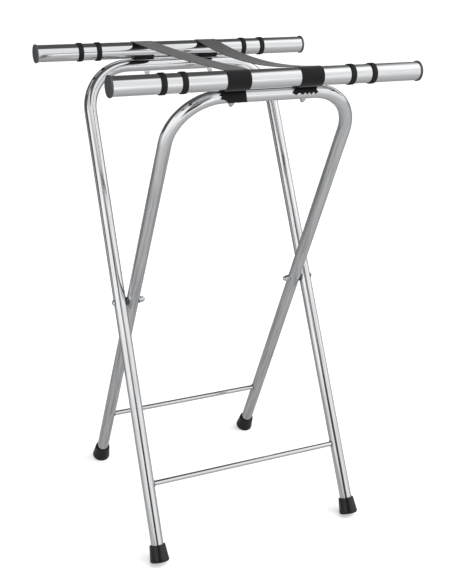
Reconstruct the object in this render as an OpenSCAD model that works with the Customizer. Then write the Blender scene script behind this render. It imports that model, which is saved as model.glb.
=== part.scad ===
// Folding tray stand: two crossed tube frames pinned at their middle, a wider bar with
// grip rings on top of each, and two webbing straps that stop the bars from moving apart.
// X runs along the bars, -Y is the front, +Z is up, and Z = 0 is the floor.
// Each frame is drawn upright about the pivot and then leaned, bar side outwards.

/* [Stance] */
// Distance between the axes of the two bars when the stand is open
bar_spacing = 368; // [300:1:420]
// Distance from the pivot up to the axis of a bar, along the frame
reach_up = 425; // [360:1:460]
// Distance from the pivot down to the end of a foot, along the frame
reach_down = 428; // [380:1:460]

/* [Leg frames] */
// Outside diameter of the frame tubes
leg_od = 20.6; // [18:0.1:22]
// Wall thickness of the frame tubes
leg_wall = 1.2; // [1:0.1:2]
// Distance from the middle to an inner leg, at the pivot
inner_half = 152.6; // [135:0.1:165]
// Outward lean of each inner leg, in degrees
inner_splay = 0.33; // [0:0.01:0.5]
// Outward lean of each outer leg, in degrees
outer_splay = 0.65; // [0.4:0.01:0.9]
// Bend radius at the top of the inner frame, on the tube's centre line
inner_bend = 78; // [60:1:85]
// Bend radius at the top of the outer frame, on the tube's centre line
outer_bend = 79; // [60:1:90]
// How much the tube's radius shrinks where it is bent
bend_thin = 0.05; // [0.03:0.01:0.2]

/* [Cross rods] */
// Diameter of each cross rod
rod_d = 8.5; // [6:0.1:12]
// Height of a cross rod above the end of the foot, along the frame
rod_up = 125.5; // [80:0.5:180]
// Leg length of the weld fillet round each end of a rod
weld_leg = 2.2; // [1:0.1:3]

/* [Bars] */
// Length of a bar over its two end plugs
bar_len = 500; // [470:1:560]
// Outside diameter of a bar
bar_od = 27.8; // [25:0.1:30]
// Wall thickness of a bar
bar_wall = 1.2; // [1:0.1:2]
// Diameter of the hole through which a frame screw is put into the bar
access_d = 11; // [10:0.1:13]

/* [End plugs] */
// Diameter of the flange of an end plug
plug_flange_d = 30.8; // [29:0.1:31]
// Thickness of the flange
plug_flange_t = 3; // [2:0.1:5]
// Chamfer round the outer face of the flange
plug_chamfer = 0.7; // [0.3:0.1:1.2]
// Length of the part that is pushed into the bar
plug_stem = 16; // [10:0.5:25]
// Wall thickness of the stem
plug_wall = 2; // [1.2:0.1:3]
// Slack between the stem and the inside of the bar
plug_slack = 0.5; // [0.3:0.05:0.8]
// Number of gripping ribs round the stem
plug_ribs = 3; // [2:1:4]

/* [Grip rings] */
// Distance from the middle of the bar to the outer ring at the left
left_ring_far = 174; // [150:1:200]
// Distance between the two rings at the left
left_ring_pitch = 31.5; // [20:0.5:45]
// Distance from the middle of the bar to the outer ring at the right
right_ring_far = 164; // [150:1:200]
// Distance between the two rings at the right
right_ring_pitch = 36.5; // [20:0.5:45]
// Width of a ring
ring_w = 6; // [4:0.1:10]
// How far a ring stands proud of the bar
ring_t = 1.6; // [1:0.1:3]
// Seat clearance of soft parts on the tube that they sit on
seat = 0.05; // [0.02:0.01:0.1]

/* [Straps] */
// Width of the webbing
strap_w = 36; // [25:1:50]
// Thickness of the webbing
strap_t = 1; // [0.8:0.1:1.5]
// Distance from the middle of the stand to the middle of each strap
strap_x = 59; // [45:1:65]
// How far the left strap hangs below the line between the bars
left_sag = 3; // [1:0.5:30]
// How far the right strap hangs below the line between the bars
right_sag = 14; // [1:0.5:30]
// How far the folded hem laps up the inner side of the bar, in degrees
hem_lap = 27; // [15:1:40]
// Straight drop of the cut tail on the left strap
left_tail = 9; // [4:0.5:16]
// Straight drop of the cut tail on the right strap
right_tail = 4; // [4:0.5:16]
// Width of one tooth of the pinked end
tooth_w = 4.5; // [3:0.5:6]
// Depth of the teeth of the pinked end
tooth_h = 2.6; // [1:0.1:3.5]

/* [Frame screws] */
// Thread diameter of the screws that hold a bar on its frame
screw_d = 5; // [4:0.1:6]
// Head diameter of a frame screw
screw_head_d = 9; // [7:0.1:9.5]
// Head height of a frame screw
screw_head_h = 3; // [2:0.1:4]
// Width across the flats of a cap nut on the frame
nut_af = 8; // [7:0.1:10]
// Overall height of a cap nut on the frame
nut_h = 9; // [8:0.1:12]
// Clearance of a screw in its holes, on the radius
screw_gap = 0.1; // [0.05:0.01:0.3]

/* [Pivot] */
// Diameter of the pivot bolts
bolt_d = 6; // [5:0.1:8]
// Running clearance of a pivot bolt in the legs, on the radius
bolt_gap = 0.08; // [0.03:0.01:0.1]
// Head diameter of a pivot bolt
bolt_head_d = 10; // [9:0.1:13]
// Head height of a pivot bolt
bolt_head_h = 3.5; // [2.5:0.1:5]
// Thickness of the washer between the crossing legs
spacer_t = 1.2; // [0.8:0.1:3]
// Diameter of the washer between the crossing legs
spacer_d = 15; // [12:0.5:20]
// Thickness of the washer under a pivot nut
washer_t = 1; // [0.8:0.1:2]
// Diameter of the washer under a pivot nut
washer_d = 12; // [11:0.5:16]
// Side play between a turning leg and the washer beside it
side_play = 0.15; // [0.1:0.01:0.3]
// Width across the flats of a pivot nut
pivot_nut_af = 10; // [9:0.1:13]
// Overall height of a pivot nut
pivot_nut_h = 10; // [9:0.1:13]

/* [Feet] */
// Height of a rubber foot along the leg
foot_h = 28; // [20:0.5:35]
// Diameter of a foot at its lower end
foot_low_d = 32; // [28:0.1:34]
// Diameter of a foot at its mouth
foot_top_d = 26.4; // [24:0.1:28]
// Radius of the rounded lower edge
foot_round = 3; // [2:0.1:4]
// Thickness of rubber under the end of the tube
foot_floor = 6; // [4:0.5:10]
// Depth of the flat that the weight presses into the edge of a foot
foot_flat = 0.8; // [0.4:0.1:1.2]

/* [Hidden] */
$fn = 64;
// How far a cut runs past the face that it opens
overrun = 1;
// How far a straight tube runs into the bend that it joins
bend_lap = 0.5;
// Steps in a rounded corner, in a strap's wrap, and in each half of a hanging strap
arc_steps = 8;
wrap_steps = 14;
span_steps = 12;
// Where a strap leaves the tube under the bar, in degrees from straight up
nip_angle = 5;

leg_r = leg_od / 2;
leg_bore_r = leg_r - leg_wall;
bar_r = bar_od / 2;
bar_bore_r = bar_r - bar_wall;
rod_r = rod_d / 2;

// Lean of each frame from the upright, and the pivot's height above the floor
lean = asin(bar_spacing / 2 / reach_up);
foot_edge_r = foot_low_d / 2 - foot_round;
pivot_z = reach_down * cos(lean) + foot_edge_r * sin(lean) - foot_round * cos(lean)
    + foot_round - foot_flat;
bar_z = pivot_z + reach_up * cos(lean);

// The two frames differ in width by one tube, one washer and the side play
outer_half = inner_half + leg_od + spacer_t + 2 * side_play;
run_u = reach_up - bar_r - 2 * strap_t - leg_r;
leg_end_u = foot_floor - reach_down;
rod_u = rod_up - reach_down;

// Webbing wraps: inner and outer radius on the bar, and on the tube below it
wrap_in = bar_r + seat;
wrap_out = wrap_in + strap_t;
wrap_mid = (wrap_in + wrap_out) / 2;
tail_in = leg_r + seat;
tail_out = leg_r + strap_t;

// Screw stack, measured down from the bar's axis along the frame
screw_seat = sqrt(pow(bar_bore_r, 2) - pow(screw_head_d / 2, 2));
nut_face = reach_up - run_u + leg_r;
nut_wall = 2.2;
nut_hex_h = nut_h / 2;
pivot_hex_h = pivot_nut_h / 2;

// Colours
chrome = [0.80, 0.81, 0.83];
bright_rod = [0.76, 0.77, 0.79];
zinc = [0.70, 0.71, 0.72];
grey_plastic = [0.31, 0.32, 0.33];
black_rubber = [0.12, 0.12, 0.13];
webbing = [0.19, 0.19, 0.20];
nylon = [0.15, 0.15, 0.16];

// Where things are

// Half distance between a frame's legs at height u above the pivot
function leg_x(half, splay, u) = half - u * tan(splay);

// Centre of the bend, across and up the frame
function bend_u(bend) = run_u - bend;
function bend_x(half, splay, bend) = leg_x(half, splay, bend_u(bend)) - bend / cos(splay);

// Angle at which a sagging strap leaves the top of a bar
function leave_angle(sag) = 2 * atan(2 * sag / bar_spacing);

// The frame that carries the front bar and stands on the rear feet
module lean_inner() {
    translate([0, 0, pivot_z])
        rotate([lean, 0, 0])
            children();
}

// The frame that carries the rear bar and stands on the front feet
module lean_outer() {
    mirror([0, 1, 0])
        lean_inner()
            children();
}

// A copy on the left and one on the right
module both_sides() {
    children();
    mirror([1, 0, 0])
        children();
}

module at_bar() {
    translate([0, 0, reach_up])
        children();
}

// Shared forms

// A cylinder along X, centred on X = 0
module x_cylinder(length, radius) {
    rotate([0, 90, 0])
        cylinder(h = length, r = radius, center = true);
}

// A dome-topped nut standing on its face, with a blind hole for the thread
module cap_nut(across_flats, height, hex_h, thread_r) {
    dome_r = across_flats / 2 - 0.4;
    difference() {
        union() {
            intersection() {
                cylinder(h = hex_h, r = across_flats / sqrt(3), $fn = 6);
                cylinder(h = hex_h, r1 = across_flats / 2 + 1.1, r2 = across_flats / 2 + 0.1);
            }
            cylinder(h = height - dome_r, r = dome_r);
            translate([0, 0, height - dome_r])
                sphere(r = dome_r);
        }
        translate([0, 0, -overrun])
            cylinder(h = height - nut_wall + overrun, r = thread_r);
    }
}

// Tubes and rods

// One straight leg on the +X side, from its bend down to u_low
module leg_rod(half, splay, bend, radius, u_low) {
    u_high = bend_u(bend) + bend * sin(splay);
    translate([leg_x(half, splay, u_low), 0, u_low])
        rotate([0, -splay, 0])
            cylinder(h = (u_high - u_low) / cos(splay) + bend_lap, r = radius);
}

// The whole inverted U as a solid round bar
module u_rod(half, splay, bend, radius, u_low) {
    translate([0, 0, run_u])
        x_cylinder(2 * bend_x(half, splay, bend) + 2 * bend_lap, radius);
    both_sides() {
        leg_rod(half, splay, bend, radius, u_low);
        translate([bend_x(half, splay, bend), 0, bend_u(bend)])
            rotate([90, 0, 0])
                rotate([0, 0, splay])
                    rotate_extrude(angle = 90 - splay)
                        translate([bend, 0])
                            circle(r = radius - bend_thin);
    }
}

// Holes for the two frame screws, from the bar's axis downwards
module screw_holes(radius, depth) {
    both_sides()
        translate([strap_x, 0, reach_up - depth])
            cylinder(h = depth, r = radius);
}

module u_tube(half, splay, bend) {
    difference() {
        u_rod(half, splay, bend, leg_r, leg_end_u);
        u_rod(half, splay, bend, leg_bore_r, leg_end_u - overrun);
        x_cylinder(2 * half + 2 * leg_od, bolt_d / 2 + bolt_gap);
        screw_holes(screw_d / 2 + screw_gap, nut_face + overrun);
    }
}

module outer_leg_tube() {
    color(chrome)
        lean_outer()
            u_tube(outer_half, outer_splay, outer_bend);
}

module inner_leg_tube() {
    color(chrome)
        lean_inner()
            u_tube(inner_half, inner_splay, inner_bend);
}

// A rod whose ends are coped to the legs, with a weld fillet round each end
module cross_rod(half, splay, bend) {
    end_x = leg_x(half, splay, rod_u);
    difference() {
        translate([0, 0, rod_u]) {
            x_cylinder(2 * end_x, rod_r);
            both_sides()
                translate([end_x - leg_r - weld_leg, 0, 0])
                    rotate([0, 90, 0])
                        cylinder(h = 2 * weld_leg, r1 = rod_r, r2 = rod_r + weld_leg);
        }
        both_sides()
            leg_rod(half, splay, bend, leg_r, leg_end_u);
    }
}

module outer_cross_rod() {
    color(bright_rod)
        lean_outer()
            cross_rod(outer_half, outer_splay, outer_bend);
}

module inner_cross_rod() {
    color(bright_rod)
        lean_inner()
            cross_rod(inner_half, inner_splay, inner_bend);
}

// Bars and what sits on them

module bar() {
    length = bar_len - 2 * plug_flange_t;
    difference() {
        at_bar()
            x_cylinder(length, bar_r);
        at_bar()
            x_cylinder(length + 2 * overrun, bar_bore_r);
        screw_holes(screw_d / 2 + screw_gap, bar_od);
        both_sides()
            translate([strap_x, 0, reach_up])
                cylinder(h = bar_od, r = access_d / 2);
    }
}

module rear_bar() {
    color(chrome)
        lean_outer()
            bar();
}

module front_bar() {
    color(chrome)
        lean_inner()
            bar();
}

// The plug for the +X end: a flange with a chamfer, and a hollow stem with ribs
module end_plug() {
    flange_r = plug_flange_d / 2;
    stem_r = bar_bore_r - plug_slack;
    face_x = bar_len / 2;
    back_x = face_x - plug_flange_t;
    at_bar()
        rotate([0, 90, 0])
            difference() {
                union() {
                    translate([0, 0, back_x])
                        cylinder(h = plug_flange_t - plug_chamfer, r = flange_r);
                    translate([0, 0, face_x - plug_chamfer])
                        cylinder(h = plug_chamfer, r1 = flange_r, r2 = flange_r - plug_chamfer);
                    translate([0, 0, back_x - plug_stem])
                        cylinder(h = plug_stem, r = stem_r);
                    for (rib = [1 : plug_ribs])
                        translate([0, 0, back_x - rib * plug_stem / (plug_ribs + 1)])
                            cylinder(h = 1, r = bar_bore_r - seat, center = true);
                }
                translate([0, 0, back_x - plug_stem - overrun])
                    cylinder(h = plug_stem + overrun, r = stem_r - plug_wall);
            }
}

module left_end_plug() {
    mirror([1, 0, 0])
        end_plug();
}

module rear_bar_left_plug() {
    color(grey_plastic)
        lean_outer()
            left_end_plug();
}

module rear_bar_right_plug() {
    color(grey_plastic)
        lean_outer()
            end_plug();
}

module front_bar_left_plug() {
    color(grey_plastic)
        lean_inner()
            left_end_plug();
}

module front_bar_right_plug() {
    color(grey_plastic)
        lean_inner()
            end_plug();
}

// A rubber ring with a rounded outside, at distance x along the bar
module grip_ring(x) {
    bore = bar_r + seat;
    top = bar_r + ring_t;
    corner = ring_t * 0.6;
    profile = concat(
        [[bore, -ring_w / 2]],
        [for (i = [0 : arc_steps]) [top - corner + corner * sin(90 * i / arc_steps),
            -ring_w / 2 + corner - corner * cos(90 * i / arc_steps)]],
        [for (i = [0 : arc_steps]) [top - corner + corner * cos(90 * i / arc_steps),
            ring_w / 2 - corner + corner * sin(90 * i / arc_steps)]],
        [[bore, ring_w / 2]]
    );
    at_bar()
        translate([x, 0, 0])
            rotate([0, 90, 0])
                rotate_extrude()
                    polygon(profile);
}

module rear_ring_left_outer() {
    color(black_rubber)
        lean_outer()
            grip_ring(-left_ring_far);
}

module rear_ring_left_inner() {
    color(black_rubber)
        lean_outer()
            grip_ring(left_ring_pitch - left_ring_far);
}

module rear_ring_right_inner() {
    color(black_rubber)
        lean_outer()
            grip_ring(right_ring_far - right_ring_pitch);
}

module rear_ring_right_outer() {
    color(black_rubber)
        lean_outer()
            grip_ring(right_ring_far);
}

module front_ring_left_outer() {
    color(black_rubber)
        lean_inner()
            grip_ring(-left_ring_far);
}

module front_ring_left_inner() {
    color(black_rubber)
        lean_inner()
            grip_ring(left_ring_pitch - left_ring_far);
}

module front_ring_right_inner() {
    color(black_rubber)
        lean_inner()
            grip_ring(right_ring_far - right_ring_pitch);
}

module front_ring_right_outer() {
    color(black_rubber)
        lean_inner()
            grip_ring(right_ring_far);
}

// The head bears on the inside of the bar, and the shank runs down through the tube
module frame_screw() {
    shank_end = nut_face + nut_h - nut_wall - 1;
    translate([0, 0, -screw_seat]) {
        cylinder(h = screw_head_h - 1, r = screw_head_d / 2);
        translate([0, 0, screw_head_h - 1])
            cylinder(h = 1, r1 = screw_head_d / 2, r2 = screw_head_d / 2 - 1.5);
    }
    translate([0, 0, -shank_end])
        cylinder(h = shank_end - screw_seat + 1, r = screw_d / 2);
}

module frame_screws() {
    both_sides()
        at_bar()
            translate([strap_x, 0, 0])
                frame_screw();
}

module frame_nuts() {
    both_sides()
        translate([strap_x, 0, reach_up - nut_face])
            rotate([180, 0, 0])
                cap_nut(nut_af, nut_h, nut_hex_h, screw_d / 2 + seat);
}

module rear_bar_screws() {
    color(zinc)
        lean_outer()
            frame_screws();
}

module front_bar_screws() {
    color(zinc)
        lean_inner()
            frame_screws();
}

module rear_bar_cap_nuts() {
    color(zinc)
        lean_outer()
            frame_nuts();
}

module front_bar_cap_nuts() {
    color(zinc)
        lean_inner()
            frame_nuts();
}

// Feet

// A tapered rubber ferrule on the +X leg, square to the leg, with a rounded lower edge
module foot(half, splay) {
    low_r = foot_low_d / 2;
    top_r = foot_top_d / 2;
    lip = 0.8;
    profile = concat(
        [[0, 0]],
        [for (i = [0 : arc_steps]) [foot_edge_r + foot_round * sin(90 * i / arc_steps),
            foot_round - foot_round * cos(90 * i / arc_steps)]],
        [[top_r + lip * (low_r - top_r) / foot_h, foot_h - lip],
            [top_r - lip, foot_h],
            [leg_r + seat, foot_h],
            [leg_r + seat, foot_floor],
            [0, foot_floor]]
    );
    translate([leg_x(half, splay, -reach_down), 0, -reach_down])
        rotate([0, -splay, 0])
            rotate_extrude()
                polygon(profile);
}

// What lies below the floor is cut away, which leaves the flat that the stand rests on
module above_floor() {
    difference() {
        children();
        translate([0, 0, -foot_h / 2])
            cube([2 * bar_len, 2 * bar_spacing, foot_h], center = true);
    }
}

module front_right_foot() {
    color(black_rubber)
        above_floor()
            lean_outer()
                foot(outer_half, outer_splay);
}

module front_left_foot() {
    mirror([1, 0, 0])
        front_right_foot();
}

module rear_right_foot() {
    color(black_rubber)
        above_floor()
            lean_inner()
                foot(inner_half, inner_splay);
}

module rear_left_foot() {
    mirror([1, 0, 0])
        rear_right_foot();
}

// Pivot

// Puts a part on the pivot's axis at distance x, pointing outwards
module on_pivot(x) {
    both_sides()
        translate([x, 0, pivot_z])
            rotate([0, 90, 0])
                children();
}

inner_face = inner_half - leg_r - side_play;
bolt_end = inner_face - washer_t - pivot_nut_h + nut_wall + 1;

module pivot_bolts() {
    shank = outer_half + leg_r - bolt_end;
    dome = (pow(bolt_head_d / 2, 2) + pow(bolt_head_h, 2)) / (2 * bolt_head_h);
    color(zinc)
        on_pivot(bolt_end) {
            cylinder(h = shank, r = bolt_d / 2);
            intersection() {
                translate([0, 0, shank])
                    cylinder(h = bolt_head_h, r = bolt_head_d / 2);
                translate([0, 0, shank + bolt_head_h - dome])
                    sphere(r = dome);
            }
        }
}

// A flat ring with a hole that clears the bolt
module washer(diameter, thickness) {
    difference() {
        cylinder(h = thickness, r = diameter / 2);
        translate([0, 0, -overrun])
            cylinder(h = thickness + 2 * overrun, r = bolt_d / 2 + seat);
    }
}

module pivot_spacers() {
    color(nylon)
        on_pivot(inner_half + leg_r + side_play)
            washer(spacer_d, spacer_t);
}

module pivot_washers() {
    color(zinc)
        on_pivot(inner_face - washer_t)
            washer(washer_d, washer_t);
}

module pivot_cap_nuts() {
    color(zinc)
        on_pivot(inner_face - washer_t)
            rotate([180, 0, 0])
                cap_nut(pivot_nut_af, pivot_nut_h, pivot_hex_h, bolt_d / 2 + seat);
}

// Straps

// Points on an arc round [0, height], angles counted from straight up towards the front
function arc_points(height, radius, from, to, steps) = [for (i = [0 : steps])
    [-radius * sin(from + (to - from) * i / steps),
        height + radius * cos(from + (to - from) * i / steps)]];

// Half circle round a point on the bar's wrap, from the outside of a fold to its inside
function fold_points(centre_r, radius, hem, steps) = [for (i = [0 : steps])
    [-centre_r * sin(hem) - radius * sin(hem + 180 * i / steps),
        reach_up + centre_r * cos(hem) + radius * cos(hem + 180 * i / steps)]];

// Everything below the pinked end of a tail, as seen square to the webbing
module below_teeth(drop) {
    teeth = floor(strap_w / tooth_w);
    pitch = (strap_w + 2 * overrun) / teeth;
    edge = [for (i = [0 : 2 * teeth])
        [strap_w / 2 + overrun - i * pitch / 2, -drop + (i % 2 == 0 ? tooth_h : 0)]];
    polygon(concat([[-strap_w, -drop - 4 * overrun], [strap_w, -drop - 4 * overrun],
        [strap_w, -drop + tooth_h]], edge, [[-strap_w, -drop + tooth_h]]));
}

// One end of a strap, seen from the side: over the bar, down its outer side, into the
// joint below it, folded back on itself there, and out over the tube to a hanging tail
module strap_end_outline(sag, drop) {
    start = -lean - leave_angle(sag);
    hem = 180 + hem_lap;
    lap_out = wrap_out + strap_t - 2 * seat;
    fold_r = (lap_out - wrap_in) / 2;
    nip = tail_out * sin(nip_angle);
    hang = 90 - lean;
    down = (drop + overrun) * [-sin(lean), -cos(lean)];
    tail_outer = arc_points(run_u, tail_out, nip_angle, hang, wrap_steps);
    tail_inner = arc_points(run_u, tail_in, hang, 0, wrap_steps);
    polygon(concat(
        arc_points(reach_up, wrap_out, start, 180 - asin(nip / wrap_out), 2 * wrap_steps),
        tail_outer,
        [tail_outer[wrap_steps] + down, tail_inner[0] + down],
        tail_inner,
        arc_points(reach_up, lap_out, 180 + hem_lap / 4, hem, 4),
        fold_points(wrap_in + fold_r, fold_r, hem, arc_steps),
        arc_points(reach_up, wrap_in, hem, start, 2 * wrap_steps)
    ));
}

module strap_loop(sag, drop) {
    difference() {
        translate([-strap_w / 2, 0, 0])
            rotate([90, 0, 90])
                linear_extrude(height = strap_w)
                    strap_end_outline(sag, drop);
        translate([0, 0, run_u])
            cylinder(h = reach_up - run_u - screw_seat, r = screw_d / 2 + screw_gap);
        translate([0, 0, run_u])
            rotate([-lean, 0, 0])
                translate([0, overrun - tail_in, 0])
                    rotate([90, 0, 0])
                        linear_extrude(height = strap_t + 2 * overrun)
                            below_teeth(drop);
    }
}

// One face of a hanging strap, seen from the side, from bar to bar about bar height
function hang_line(radius, rise, reach, steps) = [for (i = [-steps : steps])
    [radius * sin(reach * i / steps), rise - radius * cos(reach * i / steps)]];

function turned_round(points) = [for (i = [len(points) - 1 : -1 : 0]) points[i]];

// The stretch between the bars, one shallow arc tangent to both wraps
module strap_span(sag) {
    swing = leave_angle(sag);
    rise = bar_spacing / 2 / tan(swing);
    hang_r = bar_spacing / 2 / sin(swing) - wrap_mid;
    reach = swing - atan(seat / hang_r);
    upper = hang_line(hang_r - strap_t / 2, rise, reach, span_steps);
    lower = hang_line(hang_r + strap_t / 2, rise, reach, span_steps);
    translate([-strap_w / 2, 0, bar_z])
        rotate([90, 0, 90])
            linear_extrude(height = strap_w)
                polygon(concat(upper, turned_round(lower)));
}

module on_left() {
    translate([-strap_x, 0, 0])
        children();
}

module on_right() {
    translate([strap_x, 0, 0])
        children();
}

module left_strap_span() {
    color(webbing)
        on_left()
            strap_span(left_sag);
}

module right_strap_span() {
    color(webbing)
        on_right()
            strap_span(right_sag);
}

module left_strap_front_loop() {
    color(webbing)
        on_left()
            lean_inner()
                strap_loop(left_sag, left_tail);
}

module right_strap_front_loop() {
    color(webbing)
        on_right()
            lean_inner()
                strap_loop(right_sag, right_tail);
}

module left_strap_rear_loop() {
    color(webbing)
        on_left()
            lean_outer()
                strap_loop(left_sag, left_tail);
}

module right_strap_rear_loop() {
    color(webbing)
        on_right()
            lean_outer()
                strap_loop(right_sag, right_tail);
}

outer_leg_tube();
inner_leg_tube();
outer_cross_rod();
inner_cross_rod();
rear_bar();
front_bar();
rear_bar_left_plug();
rear_bar_right_plug();
front_bar_left_plug();
front_bar_right_plug();
rear_ring_left_outer();
rear_ring_left_inner();
rear_ring_right_inner();
rear_ring_right_outer();
front_ring_left_outer();
front_ring_left_inner();
front_ring_right_inner();
front_ring_right_outer();
rear_bar_screws();
front_bar_screws();
rear_bar_cap_nuts();
front_bar_cap_nuts();
front_left_foot();
front_right_foot();
rear_left_foot();
rear_right_foot();
pivot_bolts();
pivot_spacers();
pivot_washers();
pivot_cap_nuts();
left_strap_span();
right_strap_span();
left_strap_front_loop();
right_strap_front_loop();
left_strap_rear_loop();
right_strap_rear_loop();
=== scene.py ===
"""A folding tray stand: two crossed chrome tube frames, two grip bars and two webbing straps.

Lengths are metres, X runs along the bars, -Y is the front and +Z is up. Every piece is drawn in
its frame's own place, upright about the pivot, and is then leaned into the row frame.
"""

import bisect
import logging
import math
from collections.abc import Iterable, Sequence
from dataclasses import dataclass, field
from enum import Enum

import bmesh
import bpy
from mathutils import Euler, Matrix, Vector, noise


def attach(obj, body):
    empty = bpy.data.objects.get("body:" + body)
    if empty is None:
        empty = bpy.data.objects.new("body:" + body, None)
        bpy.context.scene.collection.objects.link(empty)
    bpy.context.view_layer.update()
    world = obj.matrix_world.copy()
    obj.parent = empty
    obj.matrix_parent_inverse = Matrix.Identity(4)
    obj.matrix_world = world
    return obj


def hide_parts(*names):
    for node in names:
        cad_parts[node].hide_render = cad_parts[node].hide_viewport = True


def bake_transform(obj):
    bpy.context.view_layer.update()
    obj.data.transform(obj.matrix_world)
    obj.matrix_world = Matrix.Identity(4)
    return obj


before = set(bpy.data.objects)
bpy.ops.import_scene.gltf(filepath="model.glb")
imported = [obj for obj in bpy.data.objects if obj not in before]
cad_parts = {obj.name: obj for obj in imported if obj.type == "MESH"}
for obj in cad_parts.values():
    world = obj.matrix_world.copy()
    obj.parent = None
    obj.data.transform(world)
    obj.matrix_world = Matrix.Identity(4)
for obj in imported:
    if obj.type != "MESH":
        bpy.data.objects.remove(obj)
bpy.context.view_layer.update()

LOG = logging.getLogger("tray_stand")


def mm(value: float) -> float:
    """Millimetres as metres."""
    return value / 1000.0


def linear(hex_colour: str) -> tuple[float, float, float, float]:
    """An sRGB hex colour as the linear colour that shaders take.

    Args:
        hex_colour: Six hex digits with a leading #.

    Returns:
        Red, green, blue and alpha 1.
    """
    parts = [int(hex_colour[i : i + 2], 16) / 255.0 for i in (1, 3, 5)]
    red, green, blue = [c / 12.92 if c <= 0.04045 else ((c + 0.055) / 1.055) ** 2.4 for c in parts]
    return red, green, blue, 1.0


# The stand's sizes


@dataclass(frozen=True)
class StandSizes:
    """Every size that more than one piece needs, in metres, and the fold in degrees."""

    bar_spacing: float = mm(368)
    reach_up: float = mm(425)
    reach_down: float = mm(428)
    leg_od: float = mm(20.6)
    inner_half: float = mm(152.6)
    spacer_t: float = mm(1.2)
    side_play: float = mm(0.15)
    bar_len: float = mm(500)
    bar_od: float = mm(27.8)
    strap_t: float = mm(1.0)
    strap_w: float = mm(37.2)
    screw_x: float = mm(59)
    plug_flange_t: float = mm(3)
    foot_edge_r: float = mm(13)
    foot_round: float = mm(3)
    foot_flat: float = mm(0.8)
    foot_floor: float = mm(6)
    rod_up: float = mm(125.5)
    outer_bend: float = mm(79)
    inner_bend: float = mm(78)
    fold_degrees: float = 47.07

    @property
    def leg_r(self) -> float:
        """Outside radius of a leg tube."""
        return self.leg_od / 2

    @property
    def bar_r(self) -> float:
        """Outside radius of a bar."""
        return self.bar_od / 2

    @property
    def lean(self) -> float:
        """Lean of each frame from the upright, in radians."""
        return math.asin(self.bar_spacing / 2 / self.reach_up)

    @property
    def pivot_z(self) -> float:
        """Height of the pivot above the floor, on which the feet's cut soles stand.

        Returns:
            The height.
        """
        down = self.reach_down - self.foot_round
        return (
            down * math.cos(self.lean)
            + self.foot_edge_r * math.sin(self.lean)
            + self.foot_round
            - self.foot_flat
        )

    @property
    def bar_z(self) -> float:
        """Height of the bars' axes above the floor."""
        return self.pivot_z + self.reach_up * math.cos(self.lean)

    @property
    def outer_half(self) -> float:
        """Distance from the middle to an outer leg, at the pivot."""
        return self.inner_half + self.leg_od + self.spacer_t + 2 * self.side_play

    @property
    def run_u(self) -> float:
        """Height of the frames' top runs above the pivot, along the frame."""
        return self.reach_up - self.bar_r - 2 * self.strap_t - self.leg_r


SIZES = StandSizes()
HANDS = ((-1, "left"), (1, "right"))


class Side(Enum):
    """Which of the two crossed frames a piece belongs to."""

    INNER = "inner_frame"
    OUTER = "outer_frame"

    @property
    def matrix(self) -> Matrix:
        """The lean of this frame, from its own upright place into the row frame.

        Returns:
            The placing.
        """
        placed = Matrix.Translation((0, 0, SIZES.pivot_z)) @ Matrix.Rotation(SIZES.lean, 4, "X")
        if self is Side.OUTER:
            return Matrix.Diagonal((1, -1, 1, 1)) @ placed
        return placed

    @property
    def turn(self) -> float:
        """Turn about X that stands this frame's grain upright, in radians."""
        return SIZES.lean if self is Side.INNER else -SIZES.lean

    @property
    def word(self) -> str:
        """The word that starts the names of this frame's pieces."""
        return self.name.lower()


# Finishes


class Graph:
    """A material's or world's node tree, with one way to add a node."""

    def __init__(self, tree: bpy.types.NodeTree) -> None:
        """Empties the tree.

        Args:
            tree: The node tree to build in.
        """
        self.tree = tree
        tree.nodes.clear()

    def add(self, kind: str, settings: dict | None = None, **inputs: object) -> bpy.types.Node:
        """Adds one node.

        Args:
            kind: The node's type name.
            settings: Values of the node's own properties.
            **inputs: Values for its sockets, or what to link to them: a socket, or a node for
                its first output. A name's underscores stand for spaces, and a name such as i2
                is the socket's number.

        Returns:
            The new node.
        """
        made = self.tree.nodes.new(kind)
        for name, value in (settings or {}).items():
            setattr(made, name, value)
        for name, value in inputs.items():
            numbered = name[0] == "i" and name[1:].isdigit()
            socket = made.inputs[int(name[1:]) if numbered else name.replace("_", " ")]
            if isinstance(value, bpy.types.Node):
                value = value.outputs[0]
            if isinstance(value, bpy.types.NodeSocket):
                self.tree.links.new(value, socket)
            else:
                socket.default_value = value
        return made


def new_material(name: str) -> tuple[bpy.types.Material, Graph]:
    """A new material and its empty graph.

    Args:
        name: The material's name.

    Returns:
        The material and its graph.
    """
    material = bpy.data.materials.new(name)
    material.use_nodes = True
    return material, Graph(material.node_tree)


def close_surface(graph: Graph, shader: bpy.types.Node) -> None:
    """Links a shader to the material's output.

    Args:
        graph: The material's graph.
        shader: The node whose first output is the surface.
    """
    graph.add("ShaderNodeOutputMaterial", Surface=shader)


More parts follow.
